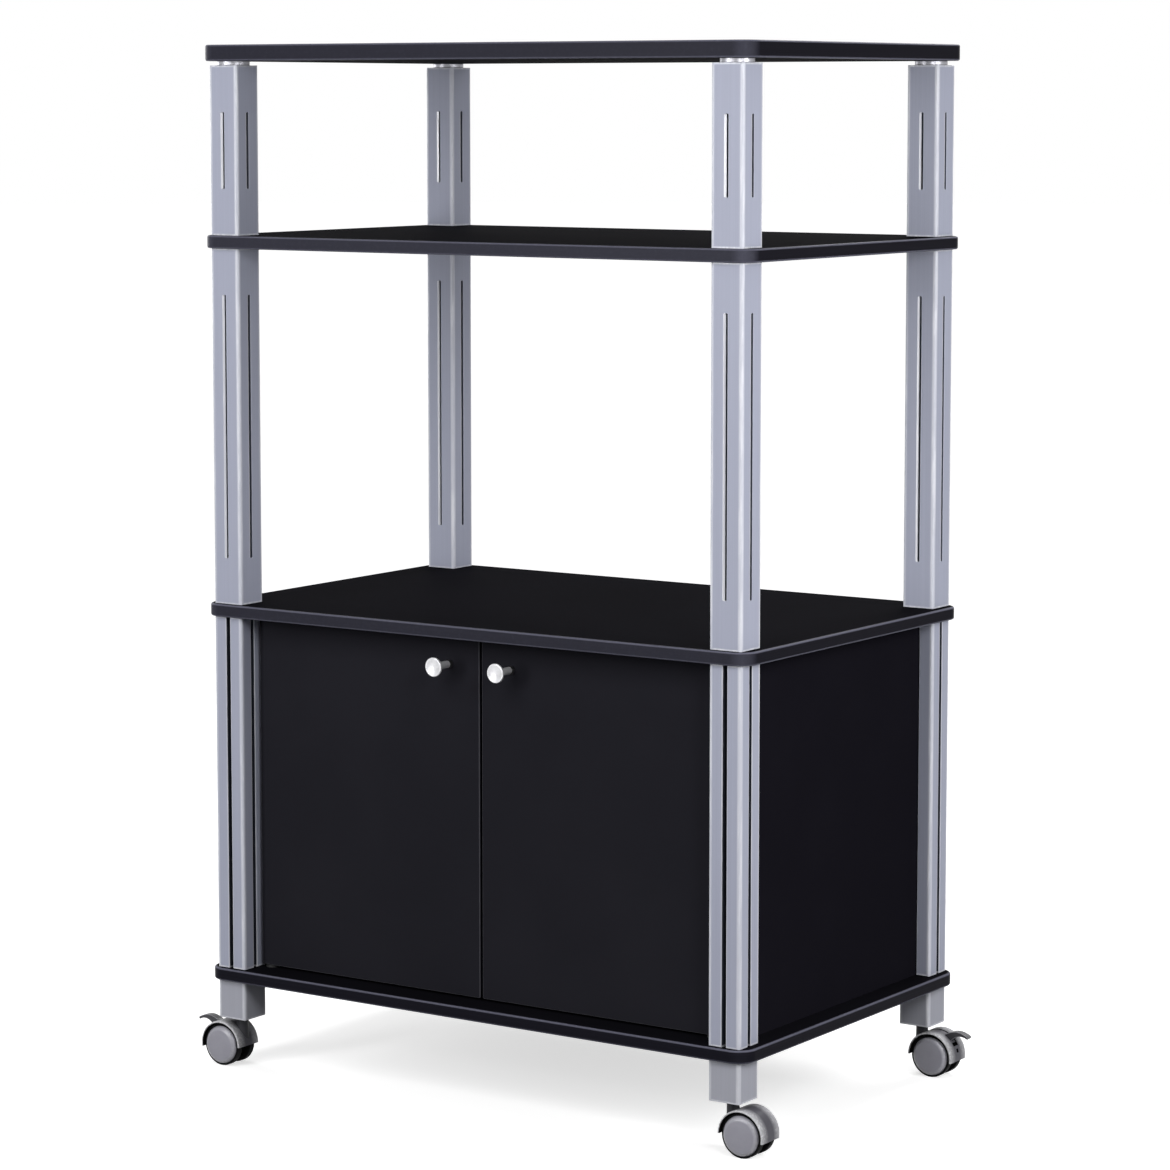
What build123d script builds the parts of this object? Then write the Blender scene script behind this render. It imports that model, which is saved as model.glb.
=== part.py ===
from build123d import *
import math
import os

# Kitchen trolley on four twin-wheel casters, in millimetres. +X is the viewer's right, the doors
# face -Y, +Z is up, and the origin is on the floor under the middle of the boards.

# Boards
BOARD_WIDTH = 600.0
BOARD_DEPTH = 382.0
BOARD_CORNER = 18.0
BOARD_EDGE = 2.0
EDGE_SHARE = 0.45
TOP_THICK = 15.0
SHELF_THICK = 12.0
WORKTOP_THICK = 12.0
BASE_THICK = 12.0

# Posts, with how far their outer faces stand in from the board edges
POST_SIDE = 32.5
POST_CORNER = 2.5
POST_WALL = 2.0
POST_INSET_X = 9.0
POST_INSET_Y = 5.5
UPPER_POST = 157.0
MIDDLE_POST = 333.0
CABINET_POST = 336.0
SLIT_WIDTH = 3.8
SLIT_END = 43.0
GROOVE_DEPTH = 7.0
CORE_WALL = 3.7
LEAST_CORNER = 0.2

# Collars, legs and what joins the tiers
COLLAR_RADIUS = 15.0
COLLAR_HEIGHT = 4.0
LEG_SIDE = 32.0
LEG_HEIGHT = 37.0
LEG_WALL = 2.0
STUD_RADIUS = 4.0
STUD_GRIP = 14.0
STUD_COVER = 4.0
STUD_HOLE_CLEAR = 0.3
FIT = 0.05

# Cabinet panels
PANEL_THICK = 3.0
PANEL_SIDE_CLEAR = 0.4
PANEL_END_CLEAR = 0.5

# Doors and their pivots
DOOR_THICK = 12.0
DOOR_SETBACK = 23.0
DOOR_SIDE_GAP = 3.0
DOOR_END_GAP = 2.5
DOOR_MEET_GAP = 2.6
DOOR_EDGE = 1.0
PIVOT_INSET = 8.0
PIN_RADIUS = 2.5
PIN_IN_DOOR = 18.0
BUSH_WALL = 1.8
BUSH_DEPTH = 7.0
BUSH_FLANGE = 2.2
THRUST_CLEAR = 0.2
END_CLEAR = 0.5
RUN_CLEAR = 0.05

# Knobs, with their place from the door's meeting edge and top edge
KNOB_RADIUS = 8.8
KNOB_REACH = 26.0
KNOB_RIM = 2.6
KNOB_ROUND = 0.8
KNOB_DISH = 1.3
KNOB_FLARE = 5.0
KNOB_WAIST = 1.5
KNOB_STEM = 3.4
KNOB_FOOT = 4.6
KNOB_FOOT_HEIGHT = 2.0
KNOB_FROM_EDGE = 33.0
KNOB_FROM_TOP = 25.0
SCREW_RADIUS = 2.0
SCREW_GRIP = 12.0
SCREW_HEAD = 4.0
SCREW_HEAD_HEIGHT = 2.4

# Magnetic catch under the worktop
CATCH_WIDTH = 52.0
CATCH_HEIGHT = 14.0
CATCH_DEPTH = 15.0
CATCH_EDGE = 1.0
MAGNET_WIDTH = 16.0
MAGNET_HEIGHT = 9.0
MAGNET_DEPTH = 5.0
STRIKE_WIDTH = 20.0
STRIKE_HEIGHT = 12.0
STRIKE_THICK = 1.2
CATCH_GAP = 0.4

# Caster wheels and axle
WHEEL_RADIUS = 20.0
WHEEL_WIDTH = 10.8
DISC_STEP = 1.2
DISC_ROUND = 2.2
TREAD_SETBACK = 3.0
TREAD_ROUND = 0.8
RIM_WALL = 3.4
FACE_WALL = 2.4
HUB_RADIUS = 6.0
AXLE_RADIUS = 3.0
AXLE_END_CLEAR = 0.6
WHEEL_SIDE_CLEAR = 0.4

# Caster hood and stem, with angles from the outward horizontal about the axle
TRAIL = 16.0
TYRE_GAP = 1.2
HOOD_WALL = 1.8
HOOD_EDGE = 0.6
HOOD_TO_LEG = 5.0
HOOD_FRONT_ANGLE = -10.0
HOOD_BACK_ANGLE = 180.0
DISC_PROUD = 1.5
HUB_WALL = 4.5
HUB_TO_SLOT = 1.1
STEM_RADIUS = 3.0
STEM_FOOT = 4.0
STEM_GRIP = 12.0
STEM_FLANGE = 1.1
NECK_WALL = 2.5
NECK_CLEAR = 0.1
WEB_WALL = 2.25

# Brake lever: a horn outside the hood, a trunnion in the hood's web, and lugs inside both rims
LEVER_REACH = 12.0
LEVER_RISE = 1.2
LEVER_DROP = 2.4
LEVER_TIP = 2.0
LEVER_TIP_SLANT = 0.8
ARCH_FROM_TIP = 9.0
ARCH_THICK = 3.8
HOLLOW_FROM_TIP = 8.0
LEVER_EDGE = 0.5
LEVER_CLEAR = 0.25
LEVER_TOP_ANGLE = 66.0
LEVER_UNDER_ANGLE = 41.0
SLOT_WALL = 1.05
SLOT_LOW_ANGLE = 27.0
SLOT_HIGH_ANGLE = 104.0
WINDOW_LOW_ANGLE = 69.0
POCKET_ANGLE = 15.0
POCKET_SIDE = 3.6
TRUNNION_RADIUS = 1.5
BOSS_RADIUS = 3.0
LUG_RADIUS = 1.5
LUG_REACH = 3.0
LUG_TRAVEL = 1.95
LUG_ANGLE = 85.0
LUG_TO_PIVOT_X = 7.05
LUG_TO_PIVOT_Z = 2.3

# Heights of the stack, from the floor up
HOOD_RADIUS = WHEEL_RADIUS + TYRE_GAP + HOOD_WALL
LEG_Z = WHEEL_RADIUS + HOOD_RADIUS + HOOD_TO_LEG
BASE_Z = LEG_Z + LEG_HEIGHT
CABINET_Z = BASE_Z + BASE_THICK
WORKTOP_Z = CABINET_Z + CABINET_POST
MIDDLE_Z = WORKTOP_Z + WORKTOP_THICK
SHELF_Z = MIDDLE_Z + MIDDLE_POST
UPPER_Z = SHELF_Z + SHELF_THICK
COLLAR_Z = UPPER_Z + UPPER_POST
TOP_Z = COLLAR_Z + COLLAR_HEIGHT

# Places that several pieces share
POST_X = BOARD_WIDTH / 2 - POST_INSET_X - POST_SIDE / 2
POST_Y = BOARD_DEPTH / 2 - POST_INSET_Y - POST_SIDE / 2
CORNERS = {"front_left": (-1, -1), "front_right": (1, -1), "back_left": (-1, 1), "back_right": (1, 1)}
SIDES = {"left": -1, "right": 1}
BRAKED = ("front_left", "back_right")
DOOR_FRONT = -POST_Y - POST_SIDE / 2 + DOOR_SETBACK
DOOR_MID = DOOR_FRONT + DOOR_THICK / 2
DOOR_BACK = DOOR_FRONT + DOOR_THICK
DOOR_HINGE_X = POST_X - POST_SIDE / 2 - DOOR_SIDE_GAP
PIVOT_X = DOOR_HINGE_X - PIVOT_INSET
DOOR_LOW = CABINET_Z + DOOR_END_GAP
DOOR_HIGH = WORKTOP_Z - DOOR_END_GAP
KNOB_X = DOOR_MEET_GAP / 2 + KNOB_FROM_EDGE
KNOB_Z = DOOR_HIGH - KNOB_FROM_TOP
BUSH_RADIUS = PIN_RADIUS + RUN_CLEAR + BUSH_WALL
GROOVE_WIDTH = PANEL_THICK + 2 * PANEL_SIDE_CLEAR
STRIKE_BACK = DOOR_BACK + STRIKE_THICK
MAGNET_Z = WORKTOP_Z - CATCH_HEIGHT / 2
MAGNET_X = CATCH_WIDTH / 4
WEB_HALF = STEM_RADIUS + RUN_CLEAR + WEB_WALL
WHEEL_IN = WEB_HALF + WHEEL_SIDE_CLEAR
WHEEL_OUT = WHEEL_IN + WHEEL_WIDTH
HOOD_HALF = WHEEL_OUT - DISC_PROUD
RIM_INSIDE = WHEEL_RADIUS - RIM_WALL
BORE_END = WHEEL_OUT - FACE_WALL
NECK_RADIUS = STEM_RADIUS + RUN_CLEAR + NECK_WALL
NECK_TOP = LEG_Z - STEM_FLANGE - NECK_CLEAR
STEM_LOW = WHEEL_RADIUS + STEM_FOOT
LEVER_HALF = WEB_HALF - SLOT_WALL - LEVER_CLEAR
ON_FLOOR = (Align.CENTER, Align.CENTER, Align.MIN)
ALONG_Y = Rot(90, 0, 0)


def polar(radius, angle):
    """Point of the caster's side view at a radius and angle about the axle."""
    turn = math.radians(angle)
    return (TRAIL + radius * math.cos(turn), WHEEL_RADIUS + radius * math.sin(turn))


LUG_X, LUG_Z = polar(RIM_INSIDE - LUG_TRAVEL - LUG_RADIUS, LUG_ANGLE)
LEVER_X = LUG_X + LUG_TO_PIVOT_X
LEVER_Z = LUG_Z + LUG_TO_PIVOT_Z


def upright(radius, length, x, y, z):
    """Vertical cylinder standing on (x, y, z)."""
    return Pos(x, y, z) * Cylinder(radius, length, align=ON_FLOOR)


def crosswise(radius, low, high, x, z):
    """Cylinder along Y from low to high, at (x, z)."""
    return Pos(x, (low + high) / 2, z) * (ALONG_Y * Cylinder(radius, high - low))


def side_prism(face, half):
    """Solid of a side view drawn in X and Z, carried to both sides of Y = 0."""
    return extrude(Plane.XZ * face, amount=half, both=True)


def at_posts(z):
    """Points at the four post centres."""
    return [(sx * POST_X, sy * POST_Y, z) for sx, sy in CORNERS.values()]


def square_tube(side, wall, length):
    """Square tube standing on the origin, with rounded corners."""
    inner_corner = max(POST_CORNER - wall, LEAST_CORNER)
    bore = side - 2 * wall
    section = RectangleRounded(side, side, POST_CORNER) - RectangleRounded(bore, bore, inner_corner)
    return extrude(section, amount=length)


def square_plug(side, wall, length):
    """Block that fills a square tube, bored through for the studs."""
    inner_corner = max(POST_CORNER - wall, LEAST_CORNER)
    width = side - 2 * wall - 2 * FIT
    return extrude(RectangleRounded(width, width, inner_corner) - Circle(STUD_RADIUS + FIT), amount=length)


def board(z, thick):
    """Board with rounded corners and softened edges."""
    plate = extrude(RectangleRounded(BOARD_WIDTH, BOARD_DEPTH, BOARD_CORNER), amount=thick)
    rims = plate.faces().filter_by(Axis.Z).edges()
    return Pos(0, 0, z) * fillet(rims, min(BOARD_EDGE, EDGE_SHARE * thick))


def stud_holes(z, depth):
    """Clearance holes for the studs, from z upwards."""
    return [upright(STUD_RADIUS + STUD_HOLE_CLEAR, depth, x, y, z0) for x, y, z0 in at_posts(z)]


def bush_seats(z):
    """Blind holes that the pivot bushes sit in."""
    return [upright(BUSH_RADIUS + FIT, BUSH_DEPTH, s * PIVOT_X, DOOR_MID, z) for s in SIDES.values()]


def boards():
    """The four boards, bored for the studs and the door pivots."""
    top = board(TOP_Z, TOP_THICK) - stud_holes(TOP_Z, TOP_THICK - STUD_COVER)
    shelf = board(SHELF_Z, SHELF_THICK) - stud_holes(SHELF_Z, SHELF_THICK)
    worktop = board(WORKTOP_Z, WORKTOP_THICK) - stud_holes(WORKTOP_Z, WORKTOP_THICK)
    base = board(BASE_Z, BASE_THICK) - stud_holes(BASE_Z, BASE_THICK)
    return {
        "top_board": [top],
        "middle_shelf": [shelf],
        "worktop": [worktop - bush_seats(WORKTOP_Z)],
        "base_board": [base - bush_seats(CABINET_Z - BUSH_DEPTH)],
    }


def slit_post(length):
    """Square tube with a round-ended slit in the middle of each face."""
    outline = SlotOverall(length - 2 * SLIT_END, SLIT_WIDTH, rotation=90)
    slit = Pos(0, 0, length / 2) * side_prism(outline, POST_SIDE)
    return square_tube(POST_SIDE, POST_WALL, length) - slit - Rot(0, 0, 90) * slit


def grooved_post():
    """Square profile with a groove down each face, four corner hollows and a bored core."""
    core = STUD_RADIUS + FIT + CORE_WALL
    hollow = POST_SIDE / 2 - POST_WALL - core
    section = RectangleRounded(POST_SIDE, POST_SIDE, POST_CORNER) - Circle(STUD_RADIUS + FIT)
    for quarter in range(4):
        turn = Rot(0, 0, 90 * quarter)
        section -= turn * Pos(POST_SIDE / 2, 0) * Rectangle(2 * GROOVE_DEPTH, GROOVE_WIDTH)
        section -= turn * Pos(core + hollow / 2, core + hollow / 2) * Rectangle(hollow, hollow)
    return extrude(section, amount=CABINET_POST)


def posts():
    """Three tiers of posts, the leg sleeves and the collars under the top board."""
    nodes = {}
    tiers = {
        "upper_post": (UPPER_Z, slit_post(UPPER_POST)),
        "middle_post": (MIDDLE_Z, slit_post(MIDDLE_POST)),
        "cabinet_post": (CABINET_Z, grooved_post()),
        "leg_sleeve": (LEG_Z, square_tube(LEG_SIDE, LEG_WALL, LEG_HEIGHT)),
    }
    for tier, (z, shape) in tiers.items():
        for corner, (sx, sy) in CORNERS.items():
            nodes[f"{tier}_{corner}"] = [Pos(sx * POST_X, sy * POST_Y, z) * shape]
    ring = Circle(COLLAR_RADIUS) - Circle(STUD_RADIUS + STUD_HOLE_CLEAR)
    nodes["top_collars"] = [Pos(*p) * extrude(ring, amount=COLLAR_HEIGHT) for p in at_posts(COLLAR_Z)]
    return nodes


def tier_joints():
    """Plugs in the tube ends, inserts in the legs, and the studs that pull the tiers together."""
    plug = square_plug(POST_SIDE, POST_WALL, STUD_GRIP)
    insert = square_plug(LEG_SIDE, LEG_WALL, LEG_HEIGHT)
    plug_heights = (MIDDLE_Z, SHELF_Z - STUD_GRIP, UPPER_Z, COLLAR_Z - STUD_GRIP)
    stud_spans = (
        (BASE_Z - STUD_GRIP, CABINET_Z + STUD_GRIP),
        (WORKTOP_Z - STUD_GRIP, MIDDLE_Z + STUD_GRIP),
        (SHELF_Z - STUD_GRIP, UPPER_Z + STUD_GRIP),
        (COLLAR_Z - STUD_GRIP, TOP_Z + TOP_THICK - STUD_COVER),
    )
    studs = []
    for low, high in stud_spans:
        studs += [upright(STUD_RADIUS, high - low, *p) for p in at_posts(low)]
    return {
        "post_end_plugs": [Pos(*p) * plug for z in plug_heights for p in at_posts(z)],
        "leg_inserts": [Pos(*p) * insert for p in at_posts(LEG_Z)],
        "joining_studs": studs,
    }


def panels():
    """Side and back panels, standing on the base board in the grooves of the cabinet posts."""
    seat = POST_SIDE / 2 - GROOVE_DEPTH + PANEL_END_CLEAR
    height = CABINET_POST - PANEL_END_CLEAR
    side = Box(PANEL_THICK, 2 * (POST_Y - seat), height, align=ON_FLOOR)
    back = Box(2 * (POST_X - seat), PANEL_THICK, height, align=ON_FLOOR)
    nodes = {f"side_panel_{name}": [Pos(s * POST_X, 0, CABINET_Z) * side] for name, s in SIDES.items()}
    nodes["back_panel"] = [Pos(0, POST_Y, CABINET_Z) * back]
    return nodes


def door():
    """Right door, bored for its pivot pins and the knob's screw."""
    low, high = DOOR_MEET_GAP / 2, DOOR_HINGE_X
    leaf = Box(high - low, DOOR_THICK, DOOR_HIGH - DOOR_LOW, align=ON_FLOOR)
    leaf = Pos((low + high) / 2, DOOR_MID, DOOR_LOW) * fillet(leaf.edges(), DOOR_EDGE)
    for z in (DOOR_LOW, DOOR_HIGH - PIN_IN_DOOR):
        leaf -= upright(PIN_RADIUS + FIT, PIN_IN_DOOR, PIVOT_X, DOOR_MID, z)
    return leaf - crosswise(SCREW_RADIUS + STUD_HOLE_CLEAR, DOOR_FRONT, DOOR_BACK, KNOB_X, KNOB_Z)


def pivot_pins():
    """Pins in the top and bottom edges of the right door."""
    in_bush = BUSH_DEPTH - END_CLEAR
    length = PIN_IN_DOOR + DOOR_END_GAP + in_bush
    low = CABINET_Z - in_bush
    high = DOOR_HIGH - PIN_IN_DOOR
    return [upright(PIN_RADIUS, length, PIVOT_X, DOOR_MID, z) for z in (low, high)]


def pivot_bush():
    """Flanged bush standing on its flange's face at the origin, with its sleeve below."""
    flange = Cylinder(BUSH_RADIUS + BUSH_FLANGE, DOOR_END_GAP - THRUST_CLEAR, align=ON_FLOOR)
    sleeve = Pos(0, 0, -BUSH_DEPTH) * Cylinder(BUSH_RADIUS, BUSH_DEPTH, align=ON_FLOOR)
    bore = Cylinder(PIN_RADIUS + RUN_CLEAR, 2 * (BUSH_DEPTH + DOOR_END_GAP))
    return flange + sleeve - bore


def knob():
    """Chrome knob turned about Y: a foot, a stem that flares to the head, and a dished face."""
    head = KNOB_REACH - KNOB_RIM
    bore = SCREW_RADIUS + FIT
    grip = SCREW_GRIP + END_CLEAR
    neck = head - KNOB_FLARE
    lip = KNOB_RADIUS - 2 * KNOB_ROUND
    waist = ((KNOB_STEM + KNOB_RADIUS) / 2 - KNOB_ROUND, -head + KNOB_WAIST)
    outline = [
        Polyline((bore, 0), (KNOB_FOOT, 0), (KNOB_FOOT, -KNOB_FOOT_HEIGHT), (KNOB_STEM, -KNOB_FOOT_HEIGHT),
                 (KNOB_STEM, -neck)),
        ThreePointArc((KNOB_STEM, -neck), waist, (KNOB_RADIUS - KNOB_ROUND, -head)),
        Polyline((KNOB_RADIUS - KNOB_ROUND, -head), (KNOB_RADIUS, -head - KNOB_ROUND),
                 (KNOB_RADIUS, -KNOB_REACH + KNOB_ROUND), (KNOB_RADIUS - KNOB_ROUND, -KNOB_REACH),
                 (lip, -KNOB_REACH)),
        TangentArc((0, -KNOB_REACH + KNOB_DISH), (lip, -KNOB_REACH), tangent=(1, 0)),
        Polyline((0, -KNOB_REACH + KNOB_DISH), (0, -grip), (bore, -grip), (bore, 0)),
    ]
    turned = revolve(make_face(outline), axis=Axis.Y)
    return Pos(KNOB_X, DOOR_FRONT, KNOB_Z) * turned


def knob_screw():
    """Screw through the right door from inside, into the knob."""
    shank = crosswise(SCREW_RADIUS, DOOR_FRONT - SCREW_GRIP, DOOR_BACK, KNOB_X, KNOB_Z)
    return shank + crosswise(SCREW_HEAD, DOOR_BACK, DOOR_BACK + SCREW_HEAD_HEIGHT, KNOB_X, KNOB_Z)


def strike_plate():
    """Steel plate on the back of the right door, facing its magnet."""
    plate = Box(STRIKE_WIDTH, STRIKE_THICK, STRIKE_HEIGHT, align=(Align.CENTER, Align.MIN, Align.CENTER))
    low = min(MAGNET_Z, DOOR_HIGH - DOOR_EDGE - STRIKE_HEIGHT / 2)
    return Pos(max(MAGNET_X, DOOR_MEET_GAP / 2 + DOOR_EDGE + STRIKE_WIDTH / 2), DOOR_BACK, low) * plate


def doors():
    """Both doors with what moves with them. The left door is the right one mirrored."""
    right = {
        "door": [door()],
        "knob": [knob()],
        "knob_screw": [knob_screw()],
        "pivot_pins": pivot_pins(),
        "strike_plate": [strike_plate()],
    }
    nodes = {}
    for name, shapes in right.items():
        nodes[f"{name}_right"] = shapes
        nodes[f"{name}_left"] = [mirror(shape, about=Plane.YZ) for shape in shapes]
    lower = [Pos(s * PIVOT_X, DOOR_MID, CABINET_Z) * pivot_bush() for s in SIDES.values()]
    upper = [Pos(s * PIVOT_X, DOOR_MID, WORKTOP_Z) * Rot(180, 0, 0) * pivot_bush() for s in SIDES.values()]
    nodes["pivot_bushes"] = lower + upper
    return nodes


def catch():
    """Catch housing on the worktop's underside, with a magnet behind each strike plate."""
    face = STRIKE_BACK + CATCH_GAP
    seat = (Align.CENTER, Align.MIN, Align.CENTER)
    block = Box(CATCH_WIDTH, CATCH_DEPTH, CATCH_HEIGHT, align=seat)
    housing = Pos(0, face, MAGNET_Z) * fillet(block.edges().filter_by(Axis.Z), CATCH_EDGE)
    magnets = []
    for s in SIDES.values():
        place = Pos(s * MAGNET_X, face, MAGNET_Z)
        housing -= place * Box(MAGNET_WIDTH + 2 * FIT, MAGNET_DEPTH + FIT, MAGNET_HEIGHT + 2 * FIT, align=seat)
        magnets.append(place * Box(MAGNET_WIDTH, MAGNET_DEPTH, MAGNET_HEIGHT, align=seat))
    return {"catch_housing": [housing], "catch_magnets": magnets}


def wheel():
    """Wheel on the +Y side: a closed disc with a rounded rim, a tread, and a hub in a hollow back."""
    disc = WHEEL_RADIUS - DISC_STEP
    tread_end = WHEEL_OUT - TREAD_SETBACK
    bore = AXLE_RADIUS + RUN_CLEAR
    arc_mid = DISC_ROUND * (1 - math.sqrt(0.5))
    outline = [
        Line((0, WHEEL_OUT), (disc - DISC_ROUND, WHEEL_OUT)),
        ThreePointArc((disc - DISC_ROUND, WHEEL_OUT), (disc - arc_mid, WHEEL_OUT - arc_mid),
                      (disc, WHEEL_OUT - DISC_ROUND)),
        Polyline((disc, WHEEL_OUT - DISC_ROUND), (disc, tread_end), (WHEEL_RADIUS - TREAD_ROUND, tread_end),
                 (WHEEL_RADIUS, tread_end - TREAD_ROUND), (WHEEL_RADIUS, WHEEL_IN + TREAD_ROUND),
                 (WHEEL_RADIUS - TREAD_ROUND, WHEEL_IN), (RIM_INSIDE, WHEEL_IN), (RIM_INSIDE, BORE_END),
                 (HUB_RADIUS, BORE_END), (HUB_RADIUS, WHEEL_IN), (bore, WHEEL_IN), (bore, BORE_END),
                 (0, BORE_END), (0, WHEEL_OUT)),
    ]
    return Pos(TRAIL, 0, WHEEL_RADIUS) * revolve(make_face(outline), axis=Axis.Y)


def sector(inner, outer, low, high):
    """Ring sector about the axle in the caster's side view, from the low angle to the high one."""
    middle = (low + high) / 2
    edges = [
        ThreePointArc(polar(outer, low), polar(outer, middle), polar(outer, high)),
        Line(polar(outer, high), polar(inner, high)),
        ThreePointArc(polar(inner, high), polar(inner, middle), polar(inner, low)),
        Line(polar(inner, low), polar(outer, low)),
    ]
    return make_face(edges)


def hood(braked):
    """Caster hood: an arched cover over both wheels, a web between them, and a neck for the stem."""
    hub = AXLE_RADIUS + HUB_WALL
    cover = side_prism(sector(hub / 2, HOOD_RADIUS, HOOD_FRONT_ANGLE, HOOD_BACK_ANGLE), HOOD_HALF)
    rims = cover.edges().filter_by(lambda e: e.geom_type == GeomType.CIRCLE and e.radius > HOOD_RADIUS - FIT)
    cover = fillet(rims, HOOD_EDGE)
    for s in SIDES.values():
        low, high = sorted((s * WEB_HALF, s * 2 * HOOD_HALF))
        cover -= crosswise(HOOD_RADIUS - HOOD_WALL, low, high, TRAIL, WHEEL_RADIUS)
    neck = upright(NECK_RADIUS, NECK_TOP - STEM_LOW, 0, 0, STEM_LOW)
    neck -= crosswise(HOOD_RADIUS - HOOD_WALL, -2 * NECK_RADIUS, -WEB_HALF, TRAIL, WHEEL_RADIUS)
    neck -= crosswise(HOOD_RADIUS - HOOD_WALL, WEB_HALF, 2 * NECK_RADIUS, TRAIL, WHEEL_RADIUS)
    shape = cover + neck + crosswise(hub, -WEB_HALF, WEB_HALF, TRAIL, WHEEL_RADIUS)
    shape -= crosswise(AXLE_RADIUS + FIT, -WEB_HALF, WEB_HALF, TRAIL, WHEEL_RADIUS)
    shape -= upright(STEM_RADIUS + RUN_CLEAR, LEG_Z, 0, 0, STEM_LOW - END_CLEAR)
    if braked:
        shape -= lever_space()
    return shape


def lever_space():
    """Room in the hood for the lever: a slot in the web, windows for the lugs, trunnion holes, a pocket."""
    inside = AXLE_RADIUS + HUB_WALL + HUB_TO_SLOT
    room = LEVER_HALF + LEVER_CLEAR
    slot = side_prism(sector(inside, 2 * HOOD_RADIUS, SLOT_LOW_ANGLE, SLOT_HIGH_ANGLE), room)
    window = side_prism(sector(inside, RIM_INSIDE, WINDOW_LOW_ANGLE, SLOT_HIGH_ANGLE), WEB_HALF)
    holes = crosswise(TRUNNION_RADIUS + RUN_CLEAR, -WEB_HALF, WEB_HALF, LEVER_X, LEVER_Z)
    x, z = polar(HOOD_RADIUS, POCKET_ANGLE)
    pocket = Pos(x, 0, z) * Rot(0, -POCKET_ANGLE, 0) * Box(POCKET_SIDE, POCKET_SIDE, POCKET_SIDE)
    return [slot, window, holes, pocket]


def lever():
    """Brake lever: curved horn, arm to the trunnion, and an inner arm that ends in the lugs."""
    root = HOOD_RADIUS - HOOD_WALL
    tip_x = TRAIL + HOOD_RADIUS + LEVER_REACH
    tip_z = WHEEL_RADIUS + HOOD_RADIUS - LEVER_DROP
    top = polar(root, LEVER_TOP_ANGLE)
    under = polar(root, LEVER_UNDER_ANGLE)
    arch = (tip_x - ARCH_FROM_TIP, WHEEL_RADIUS + HOOD_RADIUS + LEVER_RISE)
    hollow = (tip_x - HOLLOW_FROM_TIP, arch[1] - ARCH_THICK)
    tip = (tip_x, tip_z)
    tip_low = (tip_x - LEVER_TIP_SLANT, tip_z - LEVER_TIP)
    outline = [
        Spline(top, arch, tip),
        Line(tip, tip_low),
        Spline(tip_low, hollow, under),
        Line(under, top),
    ]
    horn = side_prism(make_face(outline), LEVER_HALF)
    ends = horn.faces().filter_by(Axis.Y).edges().filter_by(GeomType.BSPLINE)
    horn = fillet(ends, LEVER_EDGE)
    arm = side_prism(make_face(Polyline(top, under, (LEVER_X, LEVER_Z), close=True)), LEVER_HALF)
    span = math.hypot(LUG_TO_PIVOT_X, LUG_TO_PIVOT_Z)
    slant = math.degrees(math.atan2(LUG_TO_PIVOT_Z, LUG_TO_PIVOT_X))
    bar = Box(span, 2 * LEVER_HALF, 2 * LUG_RADIUS)
    bar = Pos((LEVER_X + LUG_X) / 2, 0, (LEVER_Z + LUG_Z) / 2) * Rot(0, -slant, 0) * bar
    boss = crosswise(BOSS_RADIUS, -LEVER_HALF, LEVER_HALF, LEVER_X, LEVER_Z)
    trunnion = crosswise(TRUNNION_RADIUS, -WEB_HALF + FIT, WEB_HALF - FIT, LEVER_X, LEVER_Z)
    lugs = crosswise(LUG_RADIUS, -WHEEL_IN - LUG_REACH, WHEEL_IN + LUG_REACH, LUG_X, LUG_Z)
    return horn + arm + bar + boss + trunnion + lugs


def stem():
    """Caster stem: thread in the leg insert, a flange under the leg, and a pin in the hood's neck."""
    pin = upright(STEM_RADIUS, LEG_Z - STEM_LOW, 0, 0, STEM_LOW)
    flange = upright(NECK_RADIUS, STEM_FLANGE, 0, 0, LEG_Z - STEM_FLANGE)
    return pin + flange + upright(STUD_RADIUS, STEM_GRIP, 0, 0, LEG_Z)


def casters():
    """Four casters trailing outwards in X, two of them with a brake lever."""
    nodes = {"caster_stems": []}
    far_wheel = wheel()
    near_wheel = mirror(far_wheel, about=Plane.XZ)
    reach = BORE_END - AXLE_END_CLEAR
    axle = crosswise(AXLE_RADIUS, -reach, reach, TRAIL, WHEEL_RADIUS)
    for corner, (sx, sy) in CORNERS.items():
        place = Pos(sx * POST_X, sy * POST_Y, 0) * Rot(0, 0, 0 if sx > 0 else 180)
        outward_is_far = sx * sy > 0
        outer, inner = (far_wheel, near_wheel) if outward_is_far else (near_wheel, far_wheel)
        nodes["caster_stems"].append(place * stem())
        nodes[f"caster_hood_{corner}"] = [place * hood(corner in BRAKED)]
        nodes[f"caster_axle_{corner}"] = [place * axle]
        nodes[f"outer_wheel_{corner}"] = [place * outer]
        nodes[f"inner_wheel_{corner}"] = [place * inner]
        if corner in BRAKED:
            nodes[f"brake_lever_{corner}"] = [place * lever()]
    return nodes


def save(name, shapes):
    """Writes one node, as a solid or as a group of separate solids."""
    solids = [solid for shape in shapes for solid in shape.solids()]
    export_step(solids[0] if len(solids) == 1 else Compound(solids), f"parts/{name}.step")


os.makedirs("parts", exist_ok=True)
for group in (boards(), posts(), tier_joints(), panels(), doors(), catch(), casters()):
    for node, node_shapes in group.items():
        save(node, node_shapes)
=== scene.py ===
"""Looks of a kitchen trolley: black laminate boards and doors, silver posts, chrome knobs, casters.

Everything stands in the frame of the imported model: +X is the viewer's right, the doors face -Y, +Z is
up, and the origin is on the floor under the middle of the boards. Sizes held by the classes are in
millimetres, and a shell turns into metres when it becomes a piece. Lamps and camera are in metres.
"""
from __future__ import annotations

import logging
import math
from dataclasses import dataclass
from enum import Enum
from functools import reduce
from operator import add
from typing import Any, Callable, Sequence, Union

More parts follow.
